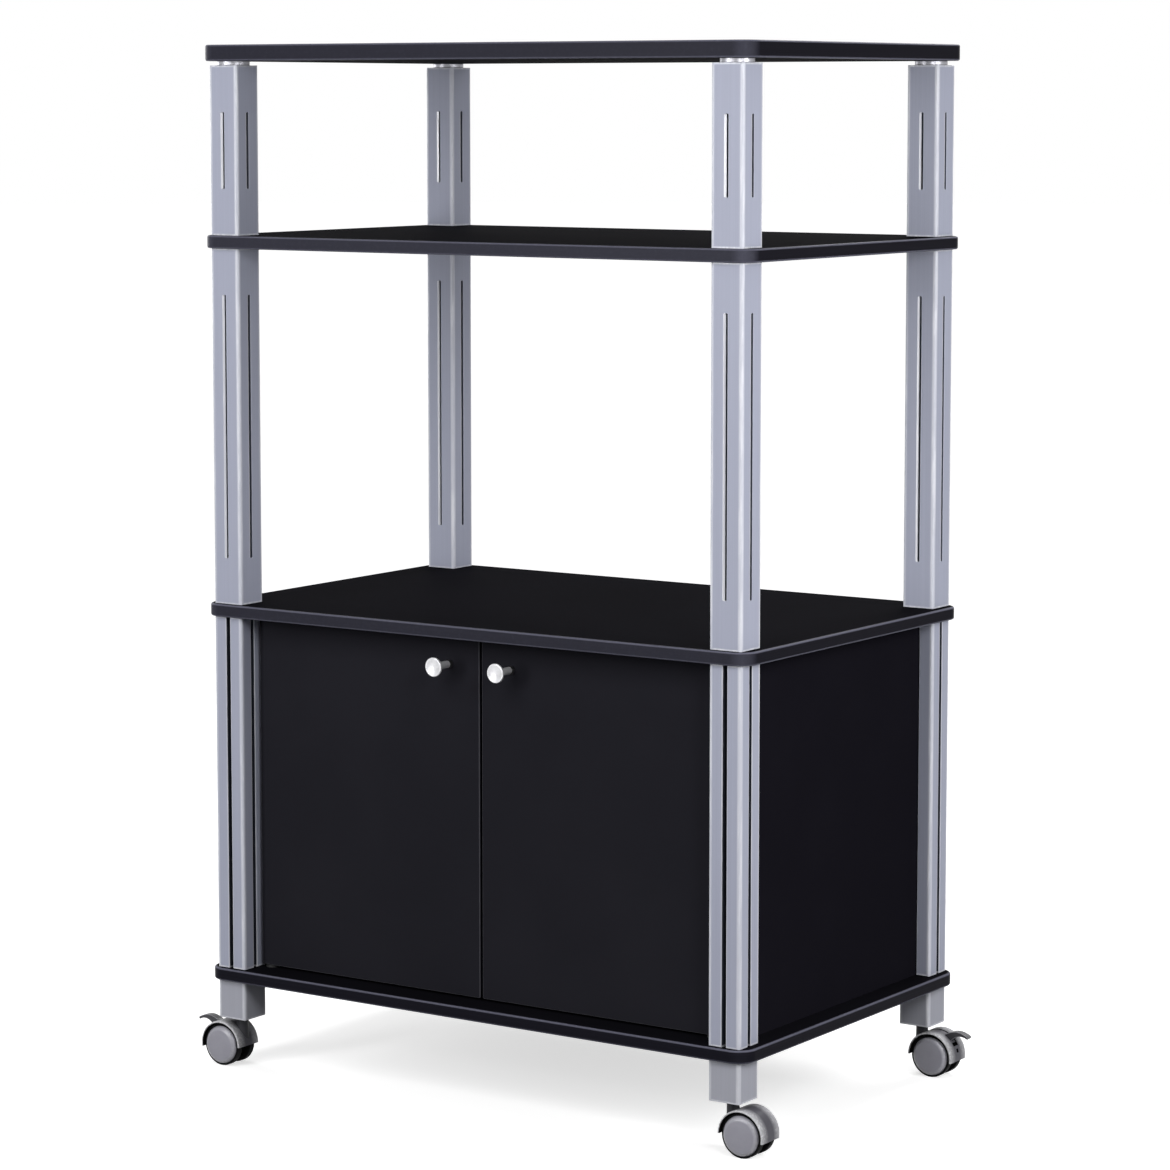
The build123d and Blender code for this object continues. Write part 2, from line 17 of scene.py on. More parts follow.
import bmesh
import bpy
import numpy as np
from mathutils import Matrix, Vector

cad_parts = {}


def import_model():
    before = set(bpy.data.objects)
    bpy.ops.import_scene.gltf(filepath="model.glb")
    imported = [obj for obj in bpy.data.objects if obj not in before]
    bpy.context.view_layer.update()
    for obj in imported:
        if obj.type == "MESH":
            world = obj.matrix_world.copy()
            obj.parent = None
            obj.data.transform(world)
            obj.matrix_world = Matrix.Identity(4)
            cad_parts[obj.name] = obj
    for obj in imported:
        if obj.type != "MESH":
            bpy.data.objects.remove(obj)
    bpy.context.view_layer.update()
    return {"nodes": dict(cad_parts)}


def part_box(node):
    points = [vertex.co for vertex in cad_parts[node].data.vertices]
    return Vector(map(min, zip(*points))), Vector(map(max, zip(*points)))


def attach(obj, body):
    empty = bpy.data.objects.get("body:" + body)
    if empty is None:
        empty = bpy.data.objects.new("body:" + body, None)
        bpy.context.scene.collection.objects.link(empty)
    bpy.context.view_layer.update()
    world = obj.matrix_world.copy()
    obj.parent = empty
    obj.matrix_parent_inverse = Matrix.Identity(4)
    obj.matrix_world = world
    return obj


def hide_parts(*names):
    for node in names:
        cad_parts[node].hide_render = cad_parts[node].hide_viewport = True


LOG = logging.getLogger("trolley")
MM = 0.001
MERGE = 1e-6

Point = Colour = tuple[float, float, float]
Pair = tuple[float, float]
Number = Union[float, "Value"]
Marks = Union[float, np.ndarray]
Zones = Union[int, np.ndarray]


class Labelled(Enum):
    """Options whose names stand in node and body names."""

    @property
    def label(self) -> str:
        """Name of the option in node and body names."""
        return self.name.lower()


class Corner(Labelled):
    """The four corners of the trolley, as signs of X and Y."""

    FRONT_LEFT = (-1, -1)
    FRONT_RIGHT = (1, -1)
    BACK_LEFT = (-1, 1)
    BACK_RIGHT = (1, 1)


class Side(Labelled):
    """Left and right as the viewer sees them, as the sign of X."""

    LEFT = -1
    RIGHT = 1


class Place(Labelled):
    """The two wheels of a caster, as the way that the disc faces, away from the trolley or towards it."""

    OUTER = 1
    INNER = -1


class Axis(Enum):
    """Directions that a turned piece may have, each with the two directions across it."""

    Y = ((0, 1, 0), (0, 0, 1), (1, 0, 0))
    Z = ((0, 0, 1), (1, 0, 0), (0, 1, 0))


class Slot(Enum):
    """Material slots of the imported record."""

    LAMINATE = "black_laminate"
    PANEL = "black_panel"
    POST = "silver_post"
    KNOB = "chrome_knob"
    STEEL = "bright_steel"
    NYLON = "black_nylon"
    MAGNET = "magnet"
    HOOD = "caster_plastic"
    WHEEL = "wheel_plastic"
    LEVER = "lever_plastic"


BRAKED = (Corner.FRONT_LEFT, Corner.BACK_RIGHT)
WHITE = (1.0, 1.0, 1.0, 1.0)
# The first and the last three rows of a stack
ENDS = [0, 1, 2, -3, -2, -1]
# Stands a plate up: its height then goes along Y
UPRIGHT = np.array([(1, 0, 0), (0, 0, 1), (0, 1, 0)])
QUARTER_TURNS = [np.array([(c, -s, 0), (s, c, 0), (0, 0, 1)]) for c, s in ((1, 0), (0, 1), (-1, 0), (0, -1))]


# Shader maths


def math_node(operation: str, swapped: bool = False) -> Callable[..., Value]:
    """Makes a method of Value from a Math node's operation.

    Args:
        operation: The operation.
        swapped: Whether the value comes last, as in an operator's reflected form.

    Returns:
        The method, which takes the operation's other terms.
    """
    def apply(value: Value, *others: Number) -> Value:
        """Math node of the operation on the value and the other terms."""
        terms = (*others, value) if swapped else (value, *others)
        return value.tree.node("ShaderNodeMath", {"operation": operation}, dict(enumerate(terms)))
    return apply


@dataclass
class Value:
    """A number that changes over a surface: an output socket with Python's operators as Math nodes."""

    tree: Tree
    socket: bpy.types.NodeSocket

    __add__, __radd__ = math_node("ADD"), math_node("ADD", True)
    __sub__, __rsub__ = math_node("SUBTRACT"), math_node("SUBTRACT", True)
    __mul__, __rmul__ = math_node("MULTIPLY"), math_node("MULTIPLY", True)
    __pow__, __abs__ = math_node("POWER"), math_node("ABSOLUTE")
    most, wave = math_node("MAXIMUM"), math_node("SINE")

    def ramp(self, low: float, high: float) -> Value:
        """Smooth step from 0 at low to 1 at high, level outside."""
        sockets = {"Value": self, "From Min": low, "From Max": high}
        return self.tree.node("ShaderNodeMapRange", {"interpolation_type": "SMOOTHSTEP"}, sockets)


class Tree:
    """Node tree of a material or world, filled by expressions."""

    def __init__(self, owner: Union[bpy.types.Material, bpy.types.World]) -> None:
        """Empties a node tree and keeps it.

        Args:
            owner: Whose tree it is.
        """
        owner.use_nodes = True
        self.nodes, self.links = owner.node_tree.nodes, owner.node_tree.links
        self.nodes.clear()

    def node(self, kind: str, settings: dict[str, Any] | None = None, sockets: dict[Any, Any] | None = None,
             output: Union[int, str] = 0) -> Value:
        """Adds a node.

        Args:
            kind: The node's type.
            settings: Its settings, which are set first.
            sockets: Values or links of its inputs, by name or number.
            output: Which output to give back.

        Returns:
            The chosen output.
        """
        made = self.nodes.new(kind)
        for name, value in (settings or {}).items():
            setattr(made, name, value)
        for key, value in (sockets or {}).items():
            if isinstance(value, Value):
                self.links.new(value.socket, made.inputs[key])
            else:
                made.inputs[key].default_value = value
        return Value(self, made.outputs[output] if len(made.outputs) else None)

    def place(self) -> Value:
        """Object coordinates, in metres."""
        return self.node("ShaderNodeTexCoord", output="Object")

    def axes(self) -> list[Value]:
        """The object coordinates X, Y and Z as numbers, in metres."""
        split = self.node("ShaderNodeSeparateXYZ", sockets={0: self.place()})
        return [Value(self, socket) for socket in split.socket.node.outputs]

    def noise(self, scale: Point, detail: float, roughness: float, shift: Point = (0, 0, 0)) -> Value:
        """Cloudy noise from 0 to 1, with scale clouds in a metre along X, Y and Z, read at a shift."""
        spread = self.node("ShaderNodeMapping", sockets={0: self.place(), "Scale": scale, "Location": shift})
        return self.node("ShaderNodeTexNoise", sockets={
            "Vector": spread, "Scale": 1.0, "Detail": detail, "Roughness": roughness})

    def mark(self) -> Value:
        """The piece's own mark: 1 along its edges that are painted paler as highlights, partly abrasion, 0
        elsewhere.
        """
        return self.node("ShaderNodeAttribute", {"attribute_name": "edge"}, output="Fac")

    def seen(self) -> Value:
        """1 for what the eye sees, straight, mirrored or through glass, and 0 for other light."""
        return reduce(Value.most, [self.node("ShaderNodeLightPath", output=f"Is {kind} Ray")
                                   for kind in ("Camera", "Glossy", "Transmission")])

    def blend(self, share: Value, first: Union[Colour, Value], second: Colour) -> Value:
        """Mix of two colours: a share of 0 gives the first, and 1 the second."""
        start = first if isinstance(first, Value) else (*first, 1.0)
        return self.node("ShaderNodeMix", {"data_type": "RGBA"}, {0: share, 6: start, 7: (*second, 1.0)}, 2)

    def relief(self, height: Value, depth: float, strength: float = 0.5) -> Value:
        """Bump from a height of 0 to 1 that stands for a depth in metres; strength is how much shows."""
        sockets = {"Strength": strength, "Distance": depth, "Height": height}
        return self.node("ShaderNodeBump", sockets=sockets)

    def surface(self, **sockets: Any) -> None:
        """Ends the tree in one Principled shader, whose sockets are given with _ for a space."""
        shader = self.node("ShaderNodeBsdfPrincipled",
                           sockets={name.replace("_", " "): value for name, value in sockets.items()})
        self.node("ShaderNodeOutputMaterial", sockets={"Surface": shader})


# Finishes


@dataclass(frozen=True)
class Finish:
    """What a surface is made of. Each kind draws its own shader."""

    name: str
    slot: Slot

    def material(self) -> bpy.types.Material:
        """The finish as a material, drawn the first time it is asked for.

        Returns:
            The material.
        """
        made = bpy.data.materials.get(self.name)
        if made is None:
            made = bpy.data.materials.new(self.name)
            self.draw(Tree(made))
        return made

    def draw(self, tree: Tree) -> None:
        """Fills the material's node tree."""
        raise NotImplementedError


@dataclass(frozen=True)
class Laminate(Finish):
    """Black laminate on board: fine pearl texture under faint clouds."""

    face: Colour = (0.0048, 0.0046, 0.0062)
    cloud: Colour = (0.0062, 0.0060, 0.0080)
    matt: float = 0.72
    shine: float = 0.002

    def draw(self, tree: Tree) -> None:
        """Clouds shade the colour, and the pearl texture breaks up the gloss.

        Args:
            tree: The material's tree.
        """
        clouds = tree.noise((5, 5, 5), 3.0, 0.6)
        pearl = tree.noise((900, 900, 900), 2.0, 0.6)
        colour = tree.blend(clouds.ramp(0.30, 0.70), self.face, self.cloud)
        roughness = self.matt + (pearl - 0.5) * 0.12 + (clouds - 0.5) * 0.10
        tree.surface(Base_Color=colour, Roughness=roughness, Specular_IOR_Level=self.shine,
                     Normal=tree.relief(pearl, 0.00004))


@dataclass(frozen=True)
class EdgeBand(Finish):
    """Smooth black band glued round a board: drawn lines along it, and its arrises painted paler as
    highlights, partly abrasion.
    """

    band: Colour = (0.0066, 0.0062, 0.0100)
    drawn: Colour = (0.0084, 0.0080, 0.0124)
    abrasion_and_highlight: Colour = (0.142, 0.143, 0.190)
    wear: float = 0.85
    gloss: float = 0.30
    shine: float = 0.012

    def draw(self, tree: Tree) -> None:
        """Lines lie level, so they change with the height; the painted highlight is finely broken along the
        arris.

        Args:
            tree: The material's tree.
        """
        lines = tree.noise((3, 3, 1500), 2.0, 0.5)
        highlight_breakup = tree.noise((240, 240, 240), 4.0, 0.65, (3.1, 1.7, 0.4)).ramp(0.46, 0.70)
        colour = tree.blend(lines.ramp(0.35, 0.65), self.band, self.drawn)
        # The marked arrises and front are painted paler: a painted highlight and sheen, partly abrasion.
        colour = tree.blend(tree.mark() * (self.wear + highlight_breakup * 0.12), colour, self.abrasion_and_highlight)
        roughness = self.gloss + (lines - 0.5) * 0.12 + highlight_breakup * 0.06
        tree.surface(Base_Color=colour, Roughness=roughness, Specular_IOR_Level=self.shine,
                     Normal=tree.relief(lines, 0.00003))


@dataclass(frozen=True)
class SilverLacquer(Finish):
    """Silver lacquer on tube: fine upright streaks, metal flake, edges painted brighter as highlights, partly
    abrasion.
    """

    coat: Colour = (0.370, 0.388, 0.485)
    streak: Colour = (0.390, 0.408, 0.508)
    abrasion_and_highlight: Colour = (0.82, 0.83, 0.88)
    metal: float = 0.03
    gloss: float = 0.48
    shine: float = 0.22

    def draw(self, tree: Tree) -> None:
        """Streaks run up the posts; flake and handling marks change the gloss.

        Args:
            tree: The material's tree.
        """
        streaks = tree.noise((900, 900, 1.6), 2.0, 0.55)
        flake = tree.noise((2600, 2600, 2600), 1.0, 0.5)
        hands = tree.noise((14, 14, 7), 3.0, 0.6, (0.7, 2.3, 1.1))
        highlight_breakup = tree.noise((160, 160, 12), 4.0, 0.7, (5.2, 0.3, 2.6)).ramp(0.44, 0.66)
        mark = tree.mark()
        colour = tree.blend(streaks.ramp(0.30, 0.72), self.coat, self.streak)
        # Marked corners, slit lips and tube ends are painted near white: painted highlights, partly abrasion.
        colour = tree.blend(mark * (0.45 + highlight_breakup * 0.35), colour, self.abrasion_and_highlight)
        roughness = self.gloss + (streaks - 0.5) * 0.08 + (hands - 0.5) * 0.12
        roughness = roughness + (flake - 0.5) * 0.06 - mark * 0.2
        tree.surface(Base_Color=colour, Roughness=roughness, Metallic=self.metal + (flake - 0.5) * 0.06,
                     Specular_IOR_Level=self.shine, Normal=tree.relief(streaks * 0.4 + flake * 0.6, 0.000012))


@dataclass(frozen=True)
class Chrome(Finish):
    """Satin chrome, turned: rings round the knob's axis, and faint finger marks."""

    metal: Colour = (0.70, 0.70, 0.72)
    dull: Colour = (0.58, 0.58, 0.60)
    gloss: float = 0.30
    share: float = 0.40
    centre: Pair = (0.0343, 0.4055)
    ring: float = 26000.0

    def draw(self, tree: Tree) -> None:
        """Rings go by the distance from the axis, the same for the knob on either side.

        Args:
            tree: The material's tree.
        """
        x, _, z = tree.axes()
        across, up = abs(x) - self.centre[0], z - self.centre[1]
        rings = ((across * across + up * up) ** 0.5 * self.ring).wave() * 0.5 + 0.5
        smear = tree.noise((160, 160, 160), 4.0, 0.6)
        colour = tree.blend(smear.ramp(0.40, 0.75), self.metal, self.dull)
        roughness = self.gloss + (smear - 0.5) * 0.14 + rings * 0.03
        tree.surface(Base_Color=colour, Roughness=roughness, Metallic=self.share,
                     Normal=tree.relief(rings, 0.000006))


@dataclass(frozen=True)
class Moulded(Finish):
    """Moulded plastic: fine spark texture, flow clouds and edges painted paler as highlights, partly
    abrasion.
    """

    body: Colour
    flow: Colour
    gloss: float
    scuff_and_highlight: Colour = (0.42, 0.42, 0.44)
    shine: float = 0.4
    grain: float = 0.00002

    def draw(self, tree: Tree) -> None:
        """Flow clouds colour the body; marked edges are painted paler, most where the noise is high.

        Args:
            tree: The material's tree.
        """
        flow = tree.noise((70, 70, 70), 3.0, 0.55)
        spark = tree.noise((3200, 3200, 3200), 2.0, 0.6)
        edge_breakup = tree.noise((420, 420, 420), 4.0, 0.7, (1.4, 0.2, 3.3)).ramp(0.46, 0.66)
        colour = tree.blend(flow.ramp(0.35, 0.68), self.body, self.flow)
        # Marked edges blend to the pale colour: painted highlights on the hood rims, wheel rims and lever
        # bevels.
        colour = tree.blend(tree.mark() * (0.60 + edge_breakup * 0.4), colour, self.scuff_and_highlight)
        roughness = self.gloss + (spark - 0.5) * 0.12 + (flow - 0.5) * 0.08
        tree.surface(Base_Color=colour, Roughness=roughness, Specular_IOR_Level=self.shine,
                     Normal=tree.relief(spark, self.grain, 0.4))


@dataclass(frozen=True)
class Steel(Finish):
    """Bright plated steel with drawn streaks and dull spots."""

    bright: Colour = (0.58, 0.58, 0.60)
    dull: Colour = (0.36, 0.36, 0.37)
    gloss: float = 0.30

    def draw(self, tree: Tree) -> None:
        """Streaks lie round the piece; dull spots break the plating.

        Args:
            tree: The material's tree.
        """
        drawn = tree.noise((90, 90, 1400), 3.0, 0.6)
        spots = tree.noise((320, 320, 320), 4.0, 0.7).ramp(0.52, 0.72)
        colour = tree.blend(spots * 0.7, self.bright, self.dull)
        roughness = self.gloss + (drawn - 0.5) * 0.2 + spots * 0.15
        tree.surface(Base_Color=colour, Roughness=roughness, Metallic=1.0,
                     Normal=tree.relief(drawn, 0.00002))


LAMINATE = Laminate("black laminate", Slot.LAMINATE)
# The doors take a lighter copy of the board laminate; the extra tone paints the sheen of the upright doors,
# which the level boards lack.
DOOR = Laminate("black door laminate", Slot.LAMINATE, (0.0172, 0.0169, 0.0218), (0.0200, 0.0196, 0.0250))
PANEL = Laminate("black panel", Slot.PANEL, (0.0080, 0.0074, 0.0108), (0.0098, 0.0091, 0.0130))
BAND = EdgeBand("black edge band", Slot.LAMINATE)
DOOR_BAND = EdgeBand("door edge band", Slot.LAMINATE, abrasion_and_highlight=(0.110, 0.110, 0.125), wear=0.7)
SILVER = SilverLacquer("silver lacquer", Slot.POST)
# Dark copies of the lacquer paint the shade in the grooves of the cabinet posts and inside the slit tubes.
GROOVE_SHADE = SilverLacquer("groove painted shade", Slot.POST, (0.030, 0.033, 0.046), (0.038, 0.041, 0.056))
TUBE_SHADE = SilverLacquer("tube inside", Slot.POST, (0.085, 0.092, 0.120), (0.098, 0.105, 0.136))
# The legs take a lighter copy of the lacquer, which partly paints the light on their front faces.
LEG = SilverLacquer("leg lacquer", Slot.POST, (0.405, 0.412, 0.470), (0.425, 0.432, 0.492), shine=0.05)
COLLAR = Steel("polished collar", Slot.POST, (0.36, 0.36, 0.39), (0.28, 0.28, 0.31), 0.38)
CHROME = Chrome("satin chrome", Slot.KNOB)
STEEL = Steel("plated steel", Slot.STEEL)
NYLON = Moulded("black nylon", Slot.NYLON, (0.012, 0.012, 0.013), (0.018, 0.018, 0.019), 0.48,
                scuff_and_highlight=(0.06, 0.06, 0.06))
MAGNET = Moulded("magnet", Slot.MAGNET, (0.035, 0.034, 0.033), (0.055, 0.053, 0.05), 0.55,
                 scuff_and_highlight=(0.12, 0.12, 0.12))
# The hood's near-white edge colour paints highlights along its rims; the hood's near-black finish, after the
# neck's, paints the shade inside the hood, its slot and its pocket.
HOOD = Moulded("hood plastic", Slot.HOOD, (0.080, 0.078, 0.093), (0.093, 0.091, 0.107), 0.36,
               scuff_and_highlight=(0.92, 0.92, 0.95), shine=0.10)
NECK = Moulded("neck plastic", Slot.HOOD, (0.030, 0.030, 0.036), (0.040, 0.040, 0.046), 0.40, shine=0.15)
HOOD_SHADE = Moulded("hood lining", Slot.HOOD, (0.004, 0.004, 0.0045), (0.006, 0.006, 0.0065), 0.60, shine=0.02)
# The disc's pale edge colour paints a highlight on its rounded rim.
DISC = Moulded("wheel disc", Slot.WHEEL, (0.236, 0.232, 0.280), (0.255, 0.251, 0.300), 0.33,
               scuff_and_highlight=(0.66, 0.66, 0.70), shine=0.9)
TREAD = Moulded("wheel tread", Slot.WHEEL, (0.0045, 0.0045, 0.005), (0.007, 0.007, 0.0075), 0.62,
                scuff_and_highlight=(0.05, 0.05, 0.05), shine=0.04, grain=0.00005)
# The lever is painted darker than the hood's plastic, for the shade it sits in, and its pale edge colour
# paints highlights along its bevels.
LEVER = Moulded("lever plastic", Slot.LEVER, (0.040, 0.039, 0.046), (0.052, 0.051, 0.059), 0.26,
                scuff_and_highlight=(0.30, 0.30, 0.33), shine=0.3)


# Surfaces


@dataclass
class Outline:
    """Closed line on a plane, with the outward direction at each of its points."""

    points: np.ndarray
    outward: np.ndarray


@dataclass
class Shell:
    """Surface of a piece: points in millimetres, faces by their number of corners, finishes, edge marks."""

    points: np.ndarray
    faces: list[np.ndarray]
    zones: list[np.ndarray]
    edge: np.ndarray

    def __add__(self, other: Shell) -> Shell:
        """Both shells as one, the other's faces counted on."""
        faces = self.faces + [face + len(self.points) for face in other.faces]
        return Shell(np.vstack([self.points, other.points]), faces, self.zones + other.zones,
                     np.concatenate([self.edge, other.edge]))

    def mapped(self, shift: Sequence[float], matrix: np.ndarray = np.eye(3)) -> Shell:
        """The shell turned or mirrored by a matrix, then moved by millimetres."""
        return Shell(self.points @ matrix.T + np.array(shift, float), self.faces, self.zones, self.edge)

    def stand_in(self, node: str, kind: str, body: str, finishes: Sequence[Finish],
                 sharp: float = 35.0) -> None:
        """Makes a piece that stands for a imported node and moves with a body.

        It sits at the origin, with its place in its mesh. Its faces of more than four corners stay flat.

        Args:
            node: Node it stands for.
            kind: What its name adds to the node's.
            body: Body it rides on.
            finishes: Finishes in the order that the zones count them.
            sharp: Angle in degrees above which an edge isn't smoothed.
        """
        mesh = bpy.data.meshes.new(f"{node}_{kind}")
        corners = [face for group in self.faces for face in group.tolist()]
        mesh.from_pydata((self.points * MM).tolist(), [], corners)
        mesh.polygons.foreach_set("material_index", np.concatenate(self.zones).astype(np.int32))
        mesh.attributes.new("edge", "FLOAT", "POINT").data.foreach_set("value", self.edge.astype(np.float32))
        work = bmesh.new()
        work.from_mesh(mesh)
        bmesh.ops.remove_doubles(work, verts=work.verts, dist=MERGE)
        bmesh.ops.dissolve_degenerate(work, edges=work.edges, dist=MERGE)
        bmesh.ops.recalc_face_normals(work, faces=work.faces)
        work.to_mesh(mesh)
        work.free()
        for finish in finishes:
            mesh.materials.append(finish.material())
        mesh.set_sharp_from_angle(angle=math.radians(sharp))
        sides = np.zeros(len(mesh.polygons), np.int32)
        mesh.polygons.foreach_get("loop_total", sides)
        mesh.polygons.foreach_set("use_smooth", sides <= 4)
        piece = linked(mesh)
        piece.modifiers.new("flat faces stay flat", "WEIGHTED_NORMAL").keep_sharp = True
        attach(piece, body)
        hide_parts(node)
        LOG.info("%s: %d faces, rides on %s", piece.name, len(sides), body)


def linked(data: bpy.types.ID) -> bpy.types.Object:
    """Puts a mesh, light or camera into the scene.

    Args:
        data: What the object shows; it gives the object its name.

    Returns:
        The object.
    """
    made = bpy.data.objects.new(data.name, data)
    bpy.context.scene.collection.objects.link(made)
    return made


def ring_faces(rows: int, columns: int) -> np.ndarray:
    """Quads between neighbouring rows of closed rings, numbered row after row.

    Args:
        rows: Number of rings.
        columns: Points in a ring.

    Returns:
        Quads, one a row, ring after ring.
    """
    here = np.arange(rows * columns).reshape(rows, columns)
    ahead = np.roll(here, -1, axis=1)
    return np.stack([here[:-1], ahead[:-1], ahead[1:], here[1:]], axis=-1).reshape(-1, 4)


def skin(rings: np.ndarray, edge: Marks = 0.0, zone: Zones = 0) -> Shell:
    """Closed surface through a stack of rings, with a face of finish 0 on the first and on the last.

    Args:
        rings: Points by ring, place in the ring, and axis.
        edge: Edge marks, which spread over rings and places.
        zone: Finish numbers, which spread over the gaps between rings and the places.

    Returns:
        The shell.
    """
    rows, columns = rings.shape[:2]
    count = np.arange(columns)
    faces = [ring_faces(rows, columns), count[::-1][None], (count + (rows - 1) * columns)[None]]
    zones = [np.broadcast_to(zone, (rows - 1, columns)).reshape(-1), *np.zeros((2, 1), int)]
    return Shell(rings.reshape(-1, 3), faces, zones, np.broadcast_to(edge, (rows, columns)).reshape(-1))


def arc(centre: Sequence[float], radius: float, start: float, stop: float, steps: int) -> np.ndarray:
    """Points on an arc of a circle, at even steps from one angle in degrees to another."""
    turn = np.radians(np.linspace(start, stop, steps + 1))
    return np.array(centre, float) + radius * np.stack([np.cos(turn), np.sin(turn)], axis=1)


def parabola(first: np.ndarray, middle: np.ndarray, last: np.ndarray, steps: int) -> np.ndarray:
    """Points on the parabola through three points, spaced by the lengths of its two chords.

    Args:
        first: First point.
        middle: Point on the way.
        last: Last point.
        steps: Steps from the first to the last.

    Returns:
        Points, one a row.
    """
    there, rest = np.linalg.norm(middle - first), np.linalg.norm(last - middle)
    m, t = there / (there + rest), np.linspace(0.0, 1.0, steps + 1)[:, None]
    return (first * (t - m) * (t - 1) / m + middle * t * (t - 1) / (m * (m - 1))
            + last * t * (t - m) / (1 - m))


def rounded_rectangle(width: float, depth: float, corner: float, steps: int) -> Outline:
    """Rectangle about the origin with a quarter circle at each corner.

    Args:
        width: Size along the first axis.
        depth: Size along the second axis.
        corner: Radius of the corners.
        steps: Steps in each quarter circle.

    Returns:
        The outline, going round to the left.
    """
    turn = np.radians(np.linspace(0.0, 90.0, steps + 1) + np.arange(4)[:, None] * 90.0)
    outward = np.stack([np.cos(turn), np.sin(turn)], axis=-1)
    signs = np.array([(1, 1), (-1, 1), (-1, -1), (1, -1)], float)[:, None]
    centres = signs * np.array([width / 2 - corner, depth / 2 - corner])
    return Outline((centres + corner * outward).reshape(-1, 2), outward.reshape(-1, 2))


def both_edges(half: np.ndarray, thick: float) -> np.ndarray:
    """Profile of inset and height from its lower half, mirrored half way up the thickness."""
    return np.vstack([half, half[::-1] * (1, -1) + (0, thick)])


def lifted(rings: np.ndarray, heights: np.ndarray) -> np.ndarray:
    """Rings in X and Y, each raised to its own height."""
    return np.concatenate([rings, np.broadcast_to(heights[:, None, None], (*rings.shape[:2], 1))], axis=2)


def plate(outline: Outline, profile: np.ndarray, marks: np.ndarray, zone: Zones = 0) -> Shell:
    """Flat piece: each row of a profile is the outline moved in by its inset, at its height."""
    flat = outline.points[None] - profile[:, :1, None] * outline.outward[None]
    return skin(lifted(flat, profile[:, 1]), marks.reshape(len(profile), -1), np.reshape(zone, (-1, 1)))


def turned(profile: np.ndarray, centre: Sequence[float], axis: Axis, way: int = 1, steps: int = 96,
           edge: Marks = 0.0, zone: Zones = 0) -> Shell:
    """Piece turned about an axis: a profile of radius and height, carried round a circle.

    A point is the centre, plus the height along the axis, plus the radius across it at each angle.

    Args:
        profile: Radius and height, row by row.
        centre: Where height 0 is.
        axis: Direction of the axis.
        way: 1 or -1, the way in which the height grows.
        steps: Points round the circle.
        edge: Edge mark of each row, or one for all.
        zone: Finish number of each gap between rows, or one for all.

    Returns:
        The shell.
    """
    along, first, second = np.array(axis.value, float)
    turn = np.linspace(0.0, 2 * np.pi, steps, endpoint=False)[:, None]
    around = np.cos(turn) * first + np.sin(turn) * second
    rings = np.array(centre, float) + profile[:, 0, None, None] * around
    rings = rings + way * profile[:, 1, None, None] * along
    return skin(rings, np.reshape(edge, (-1, 1)), np.reshape(zone, (-1, 1)))


def span(node: str) -> tuple[np.ndarray, ...]:
    """Lowest corner, highest corner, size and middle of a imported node, in millimetres."""
    low, high = (np.array(corner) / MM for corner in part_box(node))
    return low, high, high - low, (low + high) / 2


# The trolley


@dataclass
class Boards:
    """The four boards: laminate faces inside a rounded edge band, with a fine seam between the two."""

    corner: float = 18.0
    rounding: float = 1.9
    seam_inset: float = 2.5
    seam_width: float = 0.45
    seam_depth: float = 0.18
    corner_sheen: float = 0.9
    corner_steps: int = 24
    edge_steps: int = 9
    # Share of the painted front sheen on each board's edge band.
    handled: tuple[tuple[str, float], ...] = (
        ("top_board", 0.20), ("middle_shelf", 0.27), ("worktop", 0.21), ("base_board", 0.03))

    def profile(self, thick: float) -> tuple[np.ndarray, np.ndarray]:
        """Edge of a board from its lower face to its upper one, as inset and height.

        A quarter circle leads from each face to the upright middle, and its painted highlight, partly
        abrasion, grows and falls with the sine of the way along it; behind it the seam dips by its depth over
        its width.

        Args:
            thick: Thickness of the board.

        Returns:
            The profile, and the edge mark of each of its rows.
        """
        r, start, deep, slope = self.rounding, self.seam_inset, self.seam_depth, self.seam_width / 4
        end = start + self.seam_width
        dip = np.array([(end, 0), (end - slope, deep), (start + slope, deep), (start, 0)])
        low = arc((r, r), r, 270, 180, self.edge_steps)
        marks = np.concatenate([np.zeros(len(dip)), np.sin(np.linspace(0.0, np.pi, len(low)))])
        return both_edges(np.vstack([dip, low]), thick), np.concatenate([marks, marks[::-1]])

    def build(self) -> None:
        """Makes each board in the place of its node.

        The front of the edge band is painted paler as a sheen from the front light, and the corners most as a
        painted highlight: its mark is the board's share, times how far the edge faces the front, plus a part
        that peaks half way round the corner.
        """
        for node, handled in self.handled:
            low, _, size, middle = span(node)
            outline = rounded_rectangle(size[0], size[1], self.corner, self.corner_steps)
            profile, marks = self.profile(size[2])
            banded = np.ones(len(profile) - 1, int)
            banded[ENDS] = 0
            aside, ahead = np.abs(outline.outward[:, 0]), np.clip(-outline.outward[:, 1], 0.0, 1.0)
            front = handled * ahead * (1 + 2 * self.corner_sheen * aside)
            shell = plate(outline, profile, np.maximum(marks[:, None], front), banded)
            shell.mapped((*middle[:2], low[2])).stand_in(node, "slab", "frame", [LAMINATE, BAND])


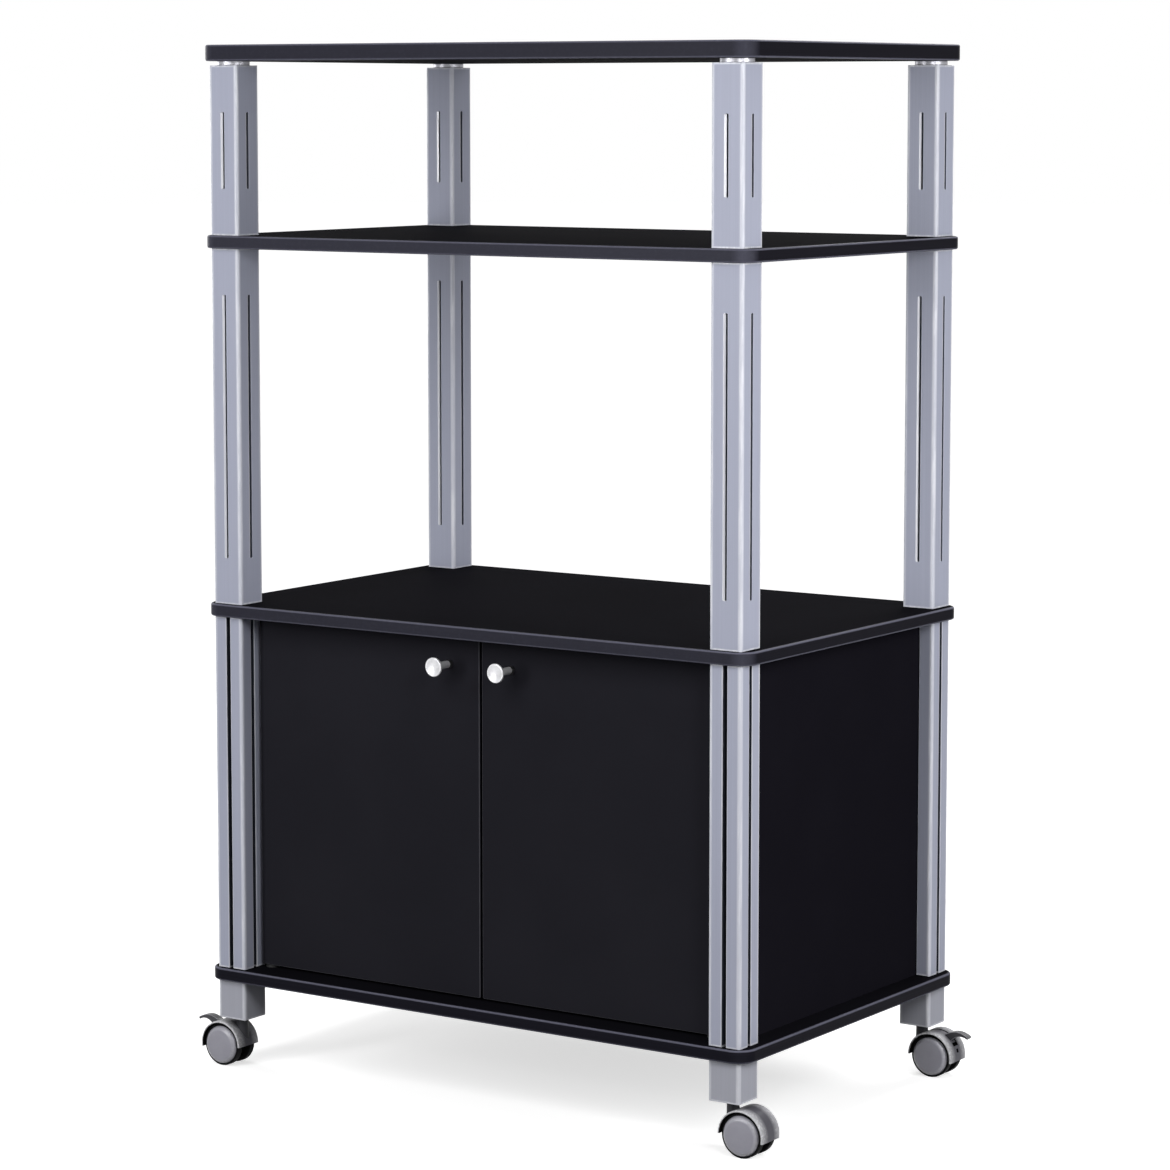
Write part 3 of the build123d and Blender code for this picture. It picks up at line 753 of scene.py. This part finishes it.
@dataclass
class Posts:
    """Posts in three tiers, the leg sleeves under them, and the collars on top."""

    corner: float = 2.5
    inner_corner: float = 0.5
    wall: float = 1.8
    slit_half: float = 1.2
    slit_end: float = 43.0
    bevels: Pair = (0.3, 1.2)
    lip_highlights: Pair = (0.3, 1.7)
    groove_half: float = 2.2
    groove_bevel: float = 0.45
    groove_depth: float = 7.0
    highlight_width: float = 0.9
    corner_highlight: float = 1.4
    lip: float = 0.05
    end_bevel: float = 0.25
    end_strip: float = 1.1
    corner_steps: int = 10
    tip_steps: int = 8
    collar_edge: float = 0.5
    collar_steps: int = 4

    @property
    def foot(self) -> np.ndarray:
        """Heights of the rows at an end: rim, bevel, strip painted bright as a highlight, and where that
        highlight stops.
        """
        return np.array([0.0, self.end_bevel, self.end_strip, self.end_strip + self.highlight_width])

    def slit_tube(self, side: float, length: float, slit: float) -> Shell:
        """Square tube with a round-ended slit down the middle of each face, and bevelled ends.

        A quarter of the wall runs from the slit of one face round a corner to the slit of the next, out
        along the outer face and back along the inner one. At height z it keeps off the middle of a face
        by the slit's half width there: the sine of the turn through the round end, 0 below and above the
        slit. The first and last ring are clipped to a smaller square. Turned three times, the quarters
        close the tube. Its inside and the wall that starts a quarter have the second finish, a dark copy
        that paints their shade; the lip that ends a quarter gets the brightest painted highlight.

        Args:
            side: Width of the tube.
            length: Its height.
            slit: Half width of the slits, or 0 for none.

        Returns:
            The shell, standing on the origin.
        """
        far = side / 2
        turn = np.linspace(0.0, np.pi / 2, self.tip_steps + 1) if slit else np.zeros(0)
        tip, half = self.slit_end + slit * (1 - np.cos(turn)), slit * np.sin(turn)
        z = np.concatenate([self.foot, tip, length - tip[::-1], length - self.foot[::-1]])
        w = np.concatenate([np.zeros(4), half, half[::-1], np.zeros(4)])
        outer = self._quarter(w, far, 1.0, self.corner)
        outer[[0, -1]] = np.minimum(outer[[0, -1]], far - self.end_bevel)
        inner = self._quarter(w, far - self.wall, 0.0, self.inner_corner)
        columns = outer.shape[1]
        rings = lifted(np.concatenate([outer, inner[:, ::-1]], axis=1), z)
        first, last = self.lip_highlights
        mark = np.concatenate([[0, first, first, 0, 0], np.ones(self.corner_steps + 1),
                               [0, 0, last, last, last], np.zeros(columns)])
        marks = np.broadcast_to(mark, (len(z), len(mark))).copy()
        marks[w == 0, :4] = marks[w == 0, columns - 4:columns] = 0.0
        marks[ENDS, :columns] = 1.0
        shell = skin(rings, marks)
        across = np.tile(np.arange(2 * columns), len(z) - 1)
        shut = np.repeat((w[:-1] == 0) & (w[1:] == 0), 2 * columns)
        keep = ~(shut & ((across + 1) % columns == 0))
        step = np.arange(columns - 1)
        rim = np.stack([step, step + 1, 2 * columns - 2 - step, 2 * columns - 1 - step], axis=1)
        rims = np.vstack([rim, rim + (len(z) - 1) * 2 * columns])
        painted_shade = ((across == 0) | (across >= columns)).astype(int)[keep]
        faces = np.vstack([shell.faces[0][keep], rims])
        quarter = Shell(shell.points, [faces], [painted_shade, np.zeros(len(rims), int)], shell.edge)
        return reduce(add, [quarter.mapped((0, 0, 0), matrix) for matrix in QUARTER_TURNS])

    def _quarter(self, w: np.ndarray, far: float, sunk: float, radius: float) -> np.ndarray:
        """Path from the middle of one face round a corner to the middle of the next, at each height.

        Beside the slit's bevel and beside the corner, a point ends the strip of painted highlight. The bevel
        that starts the path is narrower than the one that ends it.

        Args:
            w: Half width of the slit at each height.
            far: How far out the face is.
            sunk: 1 where the slit's edges are bevelled, 0 where they stay level with the face.
            radius: Radius of the corner.

        Returns:
            Points by height, place on the path, and axis.
        """
        bend = arc((far - radius, far - radius), radius, 0, 90, self.corner_steps)
        bend = np.broadcast_to(bend[None], (len(w), *bend.shape))
        flat = np.full_like(w, far)
        reach = np.full_like(w, far - radius - self.corner_highlight)
        ends = []
        for bevel in self.bevels:
            b = np.minimum(bevel, w)
            across = np.stack([w, w, w + b, w + b + self.highlight_width, reach], axis=1)
            out = np.stack([far - sunk * (b + self.lip * (w > 0)), far - sunk * b, flat, flat, flat], axis=1)
            ends.append(np.stack([out, across], axis=2))
        return np.concatenate([ends[0], bend, ends[1][:, ::-1, ::-1]], axis=1)

    def grooved_bar(self, side: float, length: float) -> Shell:
        """Square bar with a groove down the middle of each face: one closed outline carried upwards.

        A quarter of the outline leaves the groove's floor, climbs its wall, turns over the bevel, follows
        the face, the corner's quarter circle and the next face, and goes down into the next groove. The
        ends are clipped to a smaller square.

        Args:
            side: Width of the bar.
            length: Its height.

        Returns:
            The shell, standing on the origin.
        """
        far, g, b = side / 2, self.groove_half, self.groove_bevel
        start = np.array([(far - self.groove_depth, g), (far - b - self.lip, g), (far - b, g), (far, g + b),
                          (far, g + b + self.highlight_width), (far, far - self.corner - self.corner_highlight)])
        bend = arc((far - self.corner, far - self.corner), self.corner, 0, 90, self.corner_steps)
        quarter = np.vstack([start, bend, start[::-1, ::-1]])
        loop = np.vstack([quarter @ matrix[:2, :2].T for matrix in QUARTER_TURNS])
        small = np.clip(loop, self.end_bevel - far, far - self.end_bevel)
        z = np.concatenate([self.foot, length - self.foot[::-1]])
        rings = lifted(np.stack([small, *[loop] * (len(z) - 2), small]), z)
        # Bevels, the strips beside them, the corners and the ends are marked for the painted highlight.
        mark = np.ones(len(quarter))
        mark[[0, 1, 4, 5, -6, -5, -2, -1]] = 0.0
        marks = np.broadcast_to(np.tile(mark, 4), rings.shape[:2]).copy()
        marks[ENDS] = 1.0
        # The groove's walls and floor take the second finish, a dark copy that paints the shade in the
        # groove.
        painted_shade = np.zeros(len(quarter), int)
        painted_shade[[0, 1, -3, -2, -1]] = 1
        return skin(rings, marks, np.tile(painted_shade, 4))

    def collars(self) -> None:
        """Makes the collars between the upper posts and the top board, with quarter circles for rims."""
        low, high, size, _ = span("top_collars")
        x, y = np.abs(span("upper_post_front_right")[3][:2])
        radius, e, steps = high[0] - x, self.collar_edge, self.collar_steps
        profile = np.vstack([(0, 0), arc((radius - e, e), e, -90, 0, steps),
                             arc((radius - e, size[2] - e), e, 0, 90, steps), (0, size[2])])
        marks = np.pad(np.ones(len(profile) - 2), 1)
        places = [(corner.value[0] * x, corner.value[1] * y, low[2]) for corner in Corner]
        shell = reduce(add, [turned(profile, place, Axis.Z, edge=marks) for place in places])
        shell.stand_in("top_collars", "turned", "frame", [COLLAR])

    def build(self) -> None:
        """Makes each tier's posts and the legs in the places of their nodes, and the collars."""
        tiers = {"upper_post": (self.slit_half, SILVER), "middle_post": (self.slit_half, SILVER),
                 "cabinet_post": None, "leg_sleeve": (0.0, LEG)}
        for corner in Corner:
            for name, tier in tiers.items():
                node = f"{name}_{corner.label}"
                low, _, size, middle = span(node)
                if tier:
                    shell, finishes = self.slit_tube(size[0], size[2], tier[0]), [tier[1], TUBE_SHADE]
                else:
                    shell, finishes = self.grooved_bar(size[0], size[2]), [SILVER, GROOVE_SHADE]
                shell.mapped((*middle[:2], low[2])).stand_in(node, "tube", "frame", finishes)
        self.collars()


@dataclass
class Door:
    """A door: its leaf and its knob."""

    side: Side
    edge: float = 1.1
    corner: float = 1.2
    edge_steps: int = 6
    foot: float = 3.8
    foot_height: float = 4.0
    foot_bevels: Pair = (0.4, 0.5)
    stem: float = 3.4
    flare: float = 5.0
    flare_steps: int = 12
    rim: float = 2.6
    rim_round: float = 0.8
    rim_width: float = 1.28
    dish: float = 1.3
    dish_steps: int = 15
    round_steps: int = 128
    sharp: float = 50.0

    @property
    def body(self) -> str:
        """Name of the door's node, which is its body's too."""
        return f"door_{self.side.label}"

    def leaf(self) -> None:
        """Makes the leaf: an edge with two quarter circles, carried round its front outline."""
        low, _, size, middle = span(self.body)
        lower = arc((self.edge, self.edge), self.edge, 270, 180, self.edge_steps)
        # The edge's quarter circles are painted paler towards their middles: painted highlights, partly
        # abrasion.
        marks = np.tile(np.sin(np.linspace(0.0, np.pi, len(lower))), 2)
        outline = rounded_rectangle(size[0], size[2], self.corner, self.edge_steps)
        shell = plate(outline, both_edges(lower, size[1]), marks, 1)
        shell = shell.mapped((middle[0], low[1], middle[2]), UPRIGHT)
        shell.stand_in(self.body, "leaf", self.body, [DOOR, DOOR_BAND])

    def knob(self) -> None:
        """Makes a knob turned about Y: black foot, chrome stem, flare, rounded rim and a dished face.

        The flare is a quarter of an ellipse from the stem to the rim, and the dish is a parabola.
        """
        node = f"knob_{self.side.label}"
        _, high, size, middle = span(node)
        radius, reach, e, steps = size[0] / 2, size[1], self.rim_round, self.edge_steps
        wide, head = radius - e, reach - self.rim
        f, top, (b, c) = self.foot, self.foot_height, self.foot_bevels
        foot = np.array([(0, 0), (f - b, 0), (f, b), (f, top - c), (f - c, top), (self.stem, top)])
        turn = np.linspace(0.0, np.pi / 2, self.flare_steps + 1)
        flare = np.stack([wide - (wide - self.stem) * np.cos(turn),
                          head - self.flare * (1 - np.sin(turn))], axis=1)
        way = np.linspace(1.0, 0.0, self.dish_steps + 1)
        dish = np.stack([(radius - self.rim_width) * way, reach - self.dish * (1 - way ** 2)], axis=1)
        profile = np.vstack([foot, flare, arc((wide, head + e), e, -90, 0, steps)[1:],
                             arc((wide, reach - e), e, 0, 90, steps), dish])
        # The foot takes black nylon, which also paints the shade where the stem meets the door.
        zones = np.repeat([1, 0], [len(foot) - 1, len(profile) - len(foot)])
        shell = turned(profile, (middle[0], high[1], middle[2]), Axis.Y, -1, self.round_steps, zone=zones)
        shell.stand_in(node, "turned", self.body, [CHROME, NYLON], self.sharp)

    def build(self) -> None:
        """Makes the leaf and the knob."""
        self.leaf()
        self.knob()


@dataclass
class Caster:
    """A twin-wheel caster: wheels, hood and, where it has one, a brake lever."""

    corner: Corner
    round_steps: int = 128
    face_steps: int = 8
    rim_steps: int = 10
    tread_steps: int = 4
    disc_step: float = 1.9
    disc_round: float = 5.0
    disc_dome: float = 0.5
    disc_wear: float = 0.45
    tread_setback: float = 4.0
    tread_round: float = 0.8
    rim_wall: float = 3.4
    face_wall: float = 2.4
    hub_radius: float = 6.0
    bore: float = 3.05
    trail: float = 16.0
    hood_radius: float = 23.0
    hood_wall: float = 1.8
    hood_half: float = 15.0
    hood_edge: float = 1.3
    hood_rim_highlight: float = 0.7
    hood_span: Pair = (-10.0, 180.0)
    hood_step: float = 2.5
    hood_edge_steps: int = 6
    web_half: float = 5.3
    web_root: float = 3.75
    web_hub: float = 7.5
    slot_half: float = 4.25
    slot_floor: float = 8.6
    slot_span: Pair = (27.0, 104.0)
    pocket_half: float = 1.8
    pocket_depth: float = 1.7
    pocket_span: Pair = (10.5, 19.5)
    neck_radius: float = 5.55
    neck_flare: float = 0.8
    neck_sink: float = 0.9
    neck_steps: int = 64
    neck_rows: int = 12
    lever_half: float = 4.0
    lever_bevel: float = 0.6
    lever_reach: float = 12.0
    lever_boss: float = 3.0
    boss_span: Pair = (100.0, 280.0)
    boss_steps: int = 14
    bevel_steps: int = 5
    horn_upper: tuple[Pair, Pair] = ((0.0, -2.4), (-9.0, 1.2))
    horn_lower: tuple[Pair, Pair] = ((-8.0, -2.6), (-0.8, -4.4))
    horn_roots: Pair = (66.0, 41.0)
    horn_steps: int = 24
    rocker_sink: float = 0.5
    rocker_thick: float = 1.6
    rocker_span: Pair = (36.0, 101.0)
    rocker_steps: int = 40
    pivot: Pair = (24.196, 35.400)

    @property
    def axle(self) -> float:
        """Height of the axle."""
        return span(f"caster_axle_{self.corner.label}")[3][2]

    def polar(self, radius: Marks, angle: Marks) -> np.ndarray:
        """Reach from the stem, and height, at a radius and an angle in degrees about the axle."""
        turn = np.radians(angle)
        return np.stack([self.trail + radius * np.cos(turn), self.axle + radius * np.sin(turn)], axis=-1)

    def carried(self, across: np.ndarray, radius: np.ndarray, angle: np.ndarray) -> np.ndarray:
        """Rings of a section carried along an arc about the axle, from its places across and its radii."""
        side = self.polar(radius, angle[:, None])
        return np.stack([side[..., 0], np.broadcast_to(across, side.shape[:2]), side[..., 1]], axis=-1)

    def set_out(self, shell: Shell) -> Shell:
        """A shell that trails to +X from a stem at X and Y 0, put under its leg to trail outwards."""
        way, leg = self.corner.value[0], span(f"leg_sleeve_{self.corner.label}")[3]
        return shell.mapped((*leg[:2], 0.0), np.diag([way, way, 1]))

    def wheel(self, place: Place) -> None:
        """Makes a wheel turned about Y: domed disc with a rounded rim, dark tread, hollow back with a hub.

        The dome falls with the square of the radius.

        Args:
            place: Which of the two.
        """
        node = f"{place.label}_wheel_{self.corner.label}"
        low, high, size, middle = span(node)
        radius, width = size[2] / 2, size[1]
        disc, d, t, hub = radius - self.disc_step, self.disc_round, self.tread_round, self.hub_radius
        inside, bottom, end = radius - self.rim_wall, width - self.face_wall, width - self.tread_setback
        share, steps = np.linspace(0.0, 1.0, self.face_steps + 1), self.tread_steps
        face = np.stack([share * (disc - d), width - self.disc_dome * share ** 2], axis=1)
        rim = arc((disc - d, width - d), d, 90, 0, self.rim_steps)[1:] - (0, self.disc_dome)
        tread = np.vstack([(disc, end), arc((radius - t, end - t), t, 90, 0, steps),
                           arc((radius - t, t), t, 0, -90, steps)])
        back = np.array([(inside, 0), (inside, bottom), (hub, bottom), (hub, 0), (self.bore, 0),
                         (self.bore, bottom), (0, bottom)])
        dark = len(tread) + len(back)
        zones = np.repeat([0, 1], [len(face) + len(rim), dark - 1])
        # The rounded rim is painted pale towards its middle as a highlight.
        pale = np.sin(np.linspace(0.0, np.pi, len(rim))) * self.disc_wear
        marks = np.concatenate([np.zeros(len(face)), pale, np.zeros(dark)])
        way = self.corner.value[1] * place.value
        centre = (middle[0], low[1] if way > 0 else high[1], middle[2])
        profile = np.vstack([face, rim, tread, back])
        shell = turned(profile, centre, Axis.Y, way, self.round_steps, marks, zones)
        shell.stand_in(node, "turned", node, [DISC, TREAD])

    def cover(self) -> Shell:
        """Arched cover with the web between the wheels: a T section carried along an arc about the axle.

        The section goes over the rounded rims and the crown, back inside and down both sides of the web.
        With a brake, the crown's middle strip drops to the slot's floor between the slot's angles, and a
        narrower strip drops into the pocket between the pocket's angles.

        Returns:
            The shell in the caster's own place, with the stem at X and Y 0.
        """
        outside, inside, e = self.hood_radius, self.hood_radius - self.hood_wall, self.hood_edge
        s, p, web, rim_fade = self.slot_half, self.pocket_half, self.web_half, self.hood_rim_highlight
        cuts = (*self.pocket_span, *self.slot_span) if self.corner in BRAKED else ()
        stops = (self.hood_span[0], *cuts, self.hood_span[1])
        counts = [max(3, int((stop - start) / self.hood_step)) for start, stop in zip(stops, stops[1:])]
        angle = np.concatenate([np.linspace(*part) for part in zip(stops, stops[1:], counts)])
        part = np.repeat(np.arange(len(counts)), counts)
        strip = np.where(part == 3, self.slot_floor, outside)
        middle = np.where(part == 1, outside - self.pocket_depth, strip)
        rim = arc((-self.hood_half + e, outside - e), e, 180, 90, self.hood_edge_steps)
        half = np.vstack([(-self.hood_half, inside), rim, (-s, outside)])
        right = half[::-1] * (-1, 1)
        foot = np.array([(web, inside), (web, self.web_root), (-web, self.web_root), (-web, inside)])
        drops = np.stack([strip, strip, middle, middle, strip, strip], axis=1)
        y = np.concatenate([half[:, 0], [-s, -p, -p, p, p, s], right[:, 0], foot[:, 0]])
        left, rest = (np.tile(line, (len(angle), 1)) for line in (half[:, 1], np.vstack([right, foot])[:, 1]))
        over = len(half) + drops.shape[1]
        # The rims are painted pale as highlights, fading across the rounding.
        mark = np.zeros(len(y))
        mark[1:len(rim) + 1] = np.linspace(1.0, rim_fade, len(rim))
        mark[over + 1:over + len(rim) + 1] = np.linspace(rim_fade, 1.0, len(rim))
        # The inside, the web's sides, the slot and the pocket take the third finish, a near-black that paints
        # their shade.
        shade_zones = np.zeros((len(angle) - 1, len(y)), int)
        slot, pocket = (np.minimum(line[:-1], line[1:]) < outside for line in (strip, middle))
        shade_zones[slot, len(half) - 1:over] = 2
        shade_zones[pocket, len(half) + 1:over - 2] = 2
        shade_zones[:, over + len(right) - 2:] = shade_zones[:, :1] = 2
        return skin(self.carried(y, np.hstack([left, drops, rest]), angle), mark, shade_zones)

    def neck(self) -> Shell:
        """Upright neck that flares into the cover: its foot follows the arch, a little below the surface.

        At each angle round the stem, the height goes in a straight line from the arch to the top, and the
        radius shrinks with the cube of the way left.

        Returns:
            The shell, in the caster's own place.
        """
        top = span(f"caster_hood_{self.corner.label}")[1][2]
        turn = np.linspace(0.0, 2 * np.pi, self.neck_steps, endpoint=False)
        way = np.concatenate([[0.0], np.linspace(0.0, 1.0, self.neck_rows), [1.0]])[:, None]
        wide = self.neck_radius + self.neck_flare * (1 - way) ** 3
        wide[[0, -1]] = 0.0
        x, y = wide * np.cos(turn), wide * np.sin(turn)
        under = self.hood_radius - self.neck_sink
        foot = self.axle + np.sqrt(np.maximum(under ** 2 - (x - self.trail) ** 2, 1.0))
        return skin(np.stack([x, y, foot * (1 - way) + top * way], axis=-1), 0.0, 1)

    def hood(self) -> None:
        """Makes the hood: cover and web, the hub round the axle, and the neck."""
        node = f"caster_hood_{self.corner.label}"
        wide, half = self.web_hub, self.web_half
        profile = np.array([(0, -half), (wide, -half), (wide, half), (0, half)])
        # The hub takes the third finish too, painting its shade.
        hub = turned(profile, (self.trail, 0, self.axle), Axis.Y, 1, self.neck_steps, zone=2)
        shell = self.set_out(self.cover() + self.neck() + hub)
        shell.stand_in(node, "moulded", f"caster_{self.corner.label}", [HOOD, NECK, HOOD_SHADE])

    def lever(self) -> None:
        """Makes a brake lever: its side view is carried across, with a bevelled edge, over a rocking plate.

        The horn's upper and lower lines are parabolas through three points each, two of them counted from
        its tip over the hood, and a round boss about the pivot closes the side view inside the hood. The
        rocking plate fills the hood's slot: a flat section with rounded upper edges, carried along an arc
        about the axle.
        """
        node = f"brake_lever_{self.corner.label}"
        root, e, half, steps = (self.hood_radius - self.hood_wall, self.lever_bevel, self.lever_half,
                                self.bevel_steps)
        tip = np.array([self.trail + self.hood_radius + self.lever_reach, self.axle + self.hood_radius])
        high, low = (self.polar(root, angle) for angle in self.horn_roots)
        line = np.vstack([parabola(low, *(tip + self.horn_lower), self.horn_steps),
                          parabola(*(tip + self.horn_upper), high, self.horn_steps),
                          arc(self.pivot, self.lever_boss, *self.boss_span, self.boss_steps)])
        along = np.roll(line, -1, axis=0) - np.roll(line, 1, axis=0)
        along /= np.linalg.norm(along, axis=1, keepdims=True)
        outline = Outline(line, np.stack([along[:, 1], -along[:, 0]], axis=1))
        # The bevels are marked along their middles for painted highlights on the horn's edges.
        profile, marks = both_edges(arc((e, e - half), e, 270, 180, steps), 0), np.pad(np.ones(steps - 1), 1)
        horn = plate(outline, profile, np.tile(marks, 2)).mapped((0, 0, 0), UPRIGHT)
        top, edge = self.hood_radius - self.rocker_sink, self.rocker_thick / 2
        left = np.vstack([(-half, top - self.rocker_thick),
                          arc((edge - half, top - edge), edge, 180, 90, steps)])
        section = np.vstack([left, left[::-1] * (-1, 1)])
        angle = np.linspace(*self.rocker_span, self.rocker_steps)
        rocker = skin(self.carried(section[:, 0], section[:, 1], angle), 0.0, 1)
        self.set_out(horn + rocker).stand_in(node, "moulded", node, [LEVER, HOOD])

    def build(self) -> None:
        """Makes the wheels, the hood and the lever."""
        for place in Place:
            self.wheel(place)
        self.hood()
        if self.corner in BRAKED:
            self.lever()


@dataclass
class Fittings:
    """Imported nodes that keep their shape: the panels, and the hardware that holds the trolley together."""

    nodes: dict[str, bpy.types.Object]

    def build(self) -> None:
        """Puts a finish on each of them."""
        sided = {"side_panel": PANEL, "knob_screw": STEEL, "pivot_pins": STEEL, "strike_plate": STEEL}
        finishes = {
            "back_panel": PANEL, "pivot_bushes": NYLON, "catch_housing": NYLON, "catch_magnets": MAGNET,
            "caster_stems": STEEL, "joining_studs": STEEL, "post_end_plugs": NYLON, "leg_inserts": NYLON,
            **{f"{name}_{side.label}": finish for side in Side for name, finish in sided.items()},
            **{f"caster_axle_{corner.label}": STEEL for corner in Corner}}
        for name, finish in finishes.items():
            node = self.nodes[name]
            if not node.material_slots:
                node.data.materials.append(None)
            for slot in node.material_slots:
                slot.material = finish.material()
            LOG.info("%s: dressed in %s", name, finish.name)


# The studio


@dataclass(frozen=True)
class Lamp:
    """Soft rectangular lamp: where it stands, what it faces, its size in metres and its power in watts."""

    name: str
    place: Point
    aim: Point
    size: Pair
    watts: float

    def hang(self) -> None:
        """Puts the lamp into the scene."""
        data = bpy.data.lights.new(self.name, "AREA")
        data.shape = "RECTANGLE"
        data.size, data.size_y = self.size
        data.energy = self.watts
        made = linked(data)
        made.location = self.place
        made.rotation_euler = (Vector(self.aim) - Vector(self.place)).to_track_quat("-Z", "Y").to_euler()


@dataclass
class Studio:
    """Pale floor, white surroundings, soft lamps and the camera."""

    eye: Point = (2.0043, -2.9612, 0.9173)
    turn: float = 34.034
    dip: float = 6.194
    lens: float = 118.26
    sensor: float = 36.0
    rise: float = -0.06
    ambient: float = 0.18
    floor_radius: float = 30.0
    floor_steps: int = 96
    floor_tone: Colour = (0.80, 0.80, 0.80)
    floor_bounce: Colour = (0.10, 0.10, 0.10)
    lift: Pair = (0.62, 0.90)
    lift_span: Pair = (0.8, 3.5)
    lamps: tuple[Lamp, ...] = (
        Lamp("front lamp", (-0.1, -1.7, 1.45), (0.0, -0.15, 0.55), (1.2, 1.2), 15.0),
        Lamp("front left lamp", (-0.85, -2.07, 0.72), (0.1, -0.2, 0.5), (0.40, 0.9), 13.0),
        Lamp("front right lamp", (1.25, -0.95, 1.02), (0.1, -0.1, 0.6), (0.30, 0.55), 6.0),
        Lamp("right lamp", (1.45, -0.1, 0.73), (0.3, -0.02, 0.5), (0.35, 0.84), 9.9),
        Lamp("back lamp", (0.0, 1.9, 2.1), (0.0, 0.0, 0.5), (1.2, 1.2), 30.0),
        Lamp("left lamp", (-2.2, 0.3, 1.1), (0.0, 0.0, 0.5), (1.0, 1.2), 17.0),
        Lamp("top lamp", (0.1, 0.2, 2.4), (0.0, 0.0, 0.5), (1.6, 1.2), 6.0),
    )

    def camera(self) -> None:
        """Places the camera at the photograph's viewing angle: dip below the horizon, turn to the right."""
        data = bpy.data.cameras.new("photograph")
        data.sensor_width, data.lens, data.shift_y = self.sensor, self.lens, self.rise
        made = linked(data)
        made.location = self.eye
        made.rotation_euler = (math.radians(90 - self.dip), 0.0, math.radians(self.turn))
        bpy.context.scene.camera = made

    def surroundings(self) -> None:
        """White world to the eye and in reflections, and a softer light on everything else."""
        world = bpy.data.worlds.new("studio")
        bpy.context.scene.world = world
        tree = Tree(world)
        light, white = (tree.node("ShaderNodeBackground", sockets={"Color": WHITE, "Strength": strength})
                        for strength in (self.ambient, 1.0))
        both = tree.node("ShaderNodeMixShader", sockets={0: tree.seen(), 1: light, 2: white})
        tree.node("ShaderNodeOutputWorld", sockets={"Surface": both})

    def floor(self) -> None:
        """Round pale floor: a ring and its middle at height 0, lifted to white for the eye only."""
        turn = np.linspace(0.0, 2 * np.pi, self.floor_steps, endpoint=False)
        ring = self.floor_radius * np.stack([np.cos(turn), np.sin(turn), np.zeros_like(turn)], axis=1)
        mesh = bpy.data.meshes.new("floor")
        points = np.vstack([ring, np.zeros_like(ring)])
        mesh.from_pydata(points.tolist(), [], ring_faces(2, self.floor_steps).tolist())
        material = bpy.data.materials.new("pale floor")
        tree = Tree(material)
        x, y, _ = tree.axes()
        near, far = self.lift
        lift = near + ((x * x + y * y) ** 0.5).ramp(*self.lift_span) * (far - near)
        matt, bounce = (tree.node("ShaderNodeBsdfDiffuse", sockets={"Color": (*tone, 1.0)})
                        for tone in (self.floor_tone, self.floor_bounce))
        glow = tree.node("ShaderNodeEmission", sockets={"Color": lift, "Strength": 1.0})
        shown = tree.node("ShaderNodeAddShader", sockets={0: matt, 1: glow})
        both = tree.node("ShaderNodeMixShader", sockets={0: tree.seen(), 1: bounce, 2: shown})
        tree.node("ShaderNodeOutputMaterial", sockets={"Surface": both})
        mesh.materials.append(material)
        linked(mesh)

    def build(self) -> None:
        """Sets up the view, camera, surroundings, floor and lamps."""
        bpy.context.scene.view_settings.view_transform = "Standard"
        self.camera()
        self.surroundings()
        self.floor()
        for lamp in self.lamps:
            lamp.hang()


def main() -> None:
    """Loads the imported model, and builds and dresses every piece."""
    logging.basicConfig(level=logging.INFO, format="%(name)s: %(message)s")
    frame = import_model()
    Studio().build()
    doors, casters = [Door(side) for side in Side], [Caster(corner) for corner in Corner]
    for assembly in (Boards(), Posts(), *doors, *casters, Fittings(frame["nodes"])):
        LOG.info("building %s", type(assembly).__name__)
        assembly.build()


if __name__ == "__main__":
    main()
